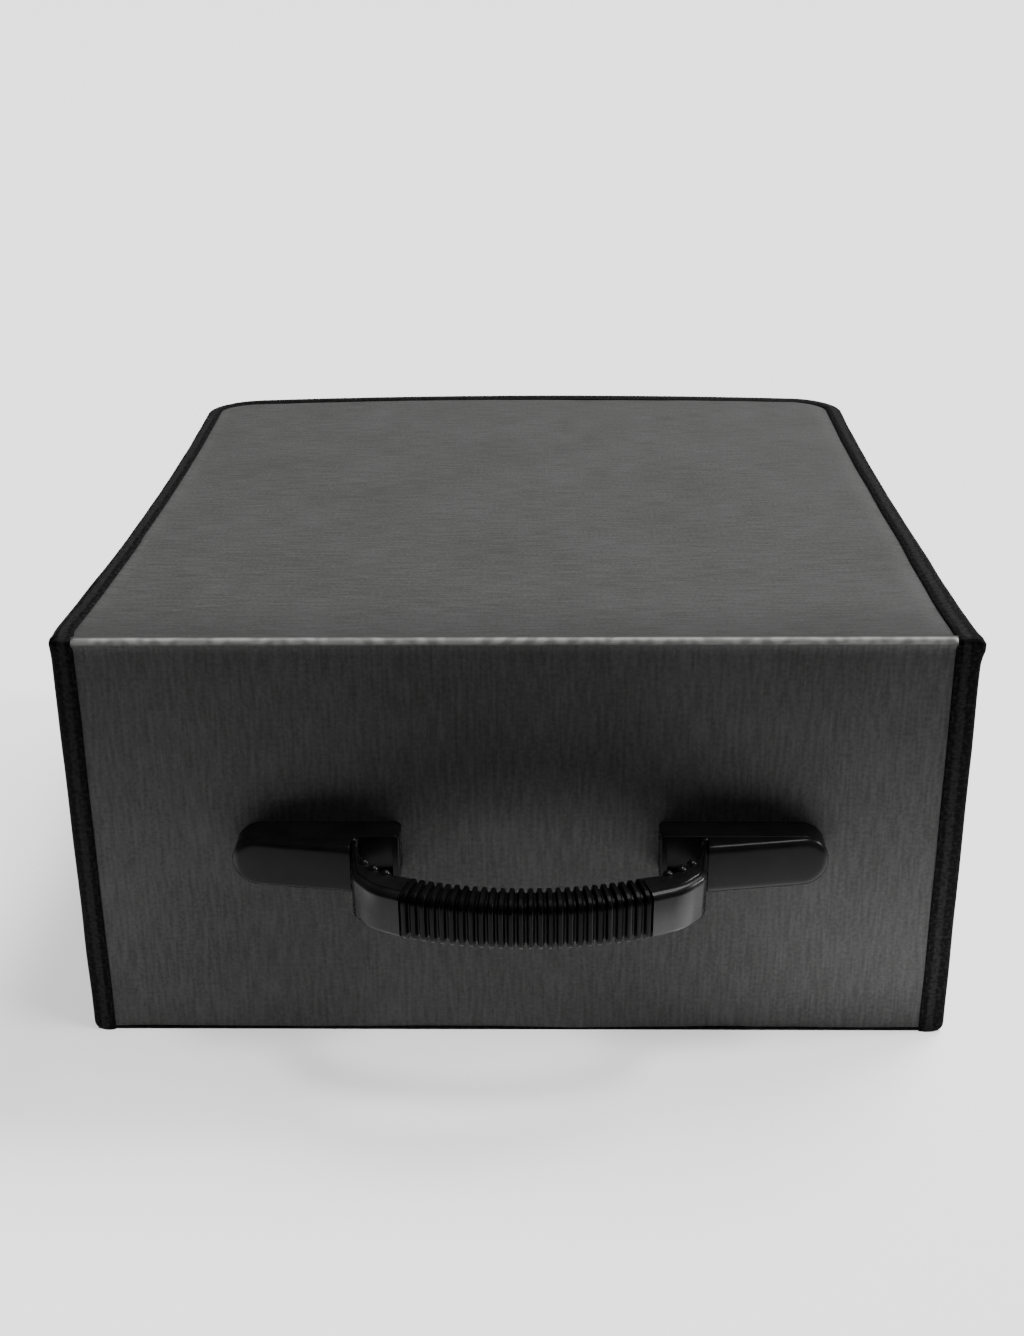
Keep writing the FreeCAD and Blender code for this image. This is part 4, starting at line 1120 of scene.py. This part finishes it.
def wallSwell(edge, along, up, turn, low, seed):
    edge = min(up - low, rimLevel - padding["rimRound"] - up, edge)
    return swell(edge, along, up, seed) * padding["wallSwell"] * (1 - turn)


def makeWallPlush():
    # plush over the foam of the three walls, turned over the rim
    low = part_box("wall_lining")[0]
    profile = plushProfile(low.z, -case["liningInset"], 1, -case["padInset"] - 0.2 * mm)
    rows, flat = wrapRows(planPath(low.y, step=5 * mm), profile, lambda along, up, turn: (
        -case["cloth"] * (1 - turn) - wallSwell(along + 2 * mm, along, up, turn, low.z, 70.0)), facing=-1)
    piece = addPiece("wall_plush", sheetSkin(rows, padding["wallThickness"]), "case", "plush",
                     ("wall_lining",))


def makeFrontPlush():
    # plush over the foam behind the front, turned over the rim
    low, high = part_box("front_lining")
    profile = plushProfile(low.z, high.y, -1, boardBack + 0.3 * mm)
    rows = []
    for (y, up, turn), run in zip(profile, runs([Vector((0, y, up)) for y, up, turn in profile])):
        left, right = rowEnds(y, case["padInset"] + 0.2 * mm)
        way = (backward * (1 - turn) + upward * turn).normalized()
        row = []
        for x in evenly(left, right, padding["steps"]):
            edge = min(x - left, right - x) - 7 * mm
            row.append((Vector((x, y + wallSwell(edge, x, up, turn, low.z, 90.0), up)), way, (x, run)))
        rows.append(row)
    piece = addPiece("front_plush", sheetSkin(rows, padding["wallThickness"]), "case", "plush",
                     ("front_lining",))


def makeLidPlush():
    # the lid's padded plug with its rounded sides, and its swelling face
    low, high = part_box("lid_lining")[0].z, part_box("lid_board")[0].z - 0.5 * mm
    plugFront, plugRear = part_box("lid_pad")[0].y - case["cloth"], rear - padding["plugInset"]
    rings = []
    for inwards, level in ((0.0, high), (0.0, high - 2.0 * mm), (0.3 * mm, low + 3.2 * mm),
                           (1.2 * mm, low + 1.4 * mm), (2.6 * mm, low + 0.4 * mm), (5.0 * mm, low)):
        path = planPath(plugFront, padding["plugInset"] + inwards, 6 * mm)
        ring = [Vector((p.x, max(p.y, plugFront + inwards), level)) for p, way in path]
        rings.append(ring + [ring[-1].lerp(ring[0], i / 60) for i in range(1, 60)])
    plug = addPiece("lid_plush", loft(rings), "lid", "plush", ("lid_lining",))
    inset = padding["faceInset"]
    face = makePanel("lid_plush_face", "lid", (), plugFront + inset, plugRear - inset,
                     padding["plugInset"] + inset, low + 0.4 * mm, -1, 110.0)


def makeLidMargin():
    # plush glued flat under the lid's board, which shows as a border round the plug
    low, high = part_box("lid_board")
    rows = planRows(low.y, high.y, case["width"] / 2 - high.x, padding["marginSteps"], lambda x, y, fromSide:
                    low.z - padding["margin"] + ripple((x, y), *padding["marginWave"]))
    skin = sheetSkin(rows, padding["margin"] - padding["marginGap"])
    piece = addPiece("lid_plush_margin", skin, "lid", "plush")


foldStrip = {
    "low": Vector((0, 2.6 * mm, -3.8 * mm)), "high": Vector((0, 3.0 * mm, -3.4 * mm)),  # from the hinge
    "tail": 9 * mm, "tailRows": 4, "rows": 16, "columns": 60, "thickness": 0.35 * mm, "endInset": 4.0 * mm,
    "wave": (25 * mm, 0.15 * mm, 31.0),
}


def makeFoldStrip():
    # close behind the welt, from the front board's rim to the lid board's front edge
    low, high, tailRows = foldStrip["low"], foldStrip["high"], foldStrip["tailRows"]
    tail, head = low - upward * foldStrip["tail"], high + backward * foldStrip["tail"]
    line = [tail.lerp(low, i / tailRows) for i in range(tailRows)]
    line += [low.lerp(high, share) for share in evenly(0.0, 1.0, foldStrip["rows"])]
    line += [high.lerp(head, i / tailRows) for i in range(1, tailRows + 1)]
    left, right = [sideX(side, hinge.y, foldStrip["endInset"]) for side in (-1, 1)]
    lengths = runs(line)
    rows = []
    for offset, run in zip(line, lengths):
        way = backward if offset.z < low.z else -upward
        row = []
        for x in evenly(left, right, foldStrip["columns"]):
            wave = way * ripple((x, run), *foldStrip["wave"])
            row.append((Vector((x, hinge.y, hinge.z)) + offset + wave, way, (x, run)))
        rows.append(row)
    piece = addPiece("fold_strip", sheetSkin(rows, foldStrip["thickness"]), "case", "plush",
                     bend=("lid", tuple(hinge + low), tuple(hinge + high)))


def makeFloorPlush():
    inset = case["padInset"] + 0.4 * mm
    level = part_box("bottom_pad")[1].z + padding["thickness"] * 0.5 + 0.35 * mm
    piece = makePanel("floor_plush", "case", ("bottom_lining",), boardBack + 0.4 * mm, rear - inset, inset,
                      level, 1, 60.0)


makeFloorPlush()
makeWallPlush()
makeFrontPlush()
makeLidPlush()
makeLidMargin()
makeFoldStrip()
print("padding made")

# Construction pieces that keep their own shape, with their finish

keptNodes = {
    "housing": ("handle_base_left", "handle_base_right"),
    "strap": ("strap_tongue_left", "strap_tongue_right", "strap_core"),
    "zinc": ("zip_slider_left", "zip_slider_right", "zip_pull_left", "zip_pull_right", "upper_zip_stops",
             "lower_zip_stops"),
    "steel": ("handle_screws", "backing_plates"),
    "board": ("bottom_board", "front_board", "wall_board", "lid_board"),
    "foam": ("bottom_pad", "front_pad", "wall_pad", "lid_pad"),
}
for finishName, names in keptNodes.items():
    for name in names:
        nodes[name].data.materials.clear()
        nodes[name].data.materials.append(finish[finishName])
print("construction pieces dressed")

# Pale floor and soft light

studio = {
    "floorSize": 80.0, "floor": "e8e8e8", "worldStrength": 0.2,
    "lamps": {  # strength, direction towards it and spread in degrees
        "rear_light": (3.6, (0.36, 0.4, 0.8), 30.0), "top_light": (1.5, (0.3, -0.08, 0.95), 14.0),
        "side_light": (2.4, (0.85, 0.1, 0.42), 12.0), "floor_light": (3.4, (0, 0, 1), 20.0),
    },
    "cards": (((0.28, 0.10), (0.24, -0.281, 0.003), 0.26), ((0.24, 0.10), (-0.33, -0.301, 0.003), 0.19)),
    "flagWidth": 4.0, "flagHeight": 0.2, "flagY": -0.42,
}


def addLight(name, kind, strength):
    data = bpy.data.lights.new(name, kind)
    data.energy = strength
    light = bpy.data.objects.new(name, data)
    bpy.context.scene.collection.objects.link(light)
    return light


def makeSun(name, strength, way, spread):
    sun = addLight(name, "SUN", strength)
    sun.data.angle = math.radians(spread)
    sun.rotation_mode = "QUATERNION"
    sun.rotation_quaternion = Vector(way).to_track_quat("Z", "Y")
    return sun


def makeCard(size, place, watts):
    # a white card that lies before the case and throws light up at its front
    card = addLight("floor_card", "AREA", watts)
    card.data.shape = "RECTANGLE"
    card.data.size, card.data.size_y = size
    card.location = place
    card.rotation_euler = (math.pi, 0, 0)
    card.visible_camera = False


def makeStagePiece(name, corners, material):
    piece = makeMesh(name, (corners, [(0, 1, 2, 3)], [corner[:2] for corner in corners]))
    piece.data.materials.append(material)
    return piece


def makeFlag():
    # a black flag out of sight before the case: it keeps the light of the far floor off the front
    material = newMaterial("blackVelvet")[0]  # cotton velvet: cut pile, takes all light
    surfaced(material, {"Base Color": srgb("000000"), "Roughness": 1.0, "Specular IOR Level": 0.0})
    half, high, y = studio["flagWidth"] / 2, studio["flagHeight"], studio["flagY"]
    flag = makeStagePiece("flag", [(-half, y, 0), (half, y, 0), (half, y, high), (-half, y, high)], material)
    flag.visible_camera = False
    flag.visible_shadow = False


def makeStudio():
    material = newMaterial("paperMatt")[0]  # paper: smooth, pale and matt
    surfaced(material, {
        "Base Color": srgb(studio["floor"]), "Roughness": 0.9, "IOR": 1.4, "Specular IOR Level": 0.1})
    half = studio["floorSize"] / 2
    corners = [(-half, -half, 0), (half, -half, 0), (half, half, 0), (-half, half, 0)]
    floor = makeStagePiece("floor", corners, material)
    world = bpy.data.worlds.new("studio")
    world.use_nodes = True
    sky = world.node_tree.nodes["Background"]
    setInputs(sky, {"Strength": studio["worldStrength"], "Color": (1, 1, 1, 1)})
    bpy.context.scene.world = world
    suns = {name: makeSun(name, *lamp) for name, lamp in studio["lamps"].items()}
    suns["floor_light"].data.use_shadow = False
    litFloor = bpy.data.collections.new("lit_floor")  # the floor has a lamp of its own, so it stays pale
    litFloor.objects.link(floor)
    suns["floor_light"].light_linking.receiver_collection = litFloor
    for size, place, watts in studio["cards"]:
        makeCard(size, place, watts)
    makeFlag()


makeStudio()
print("studio made")
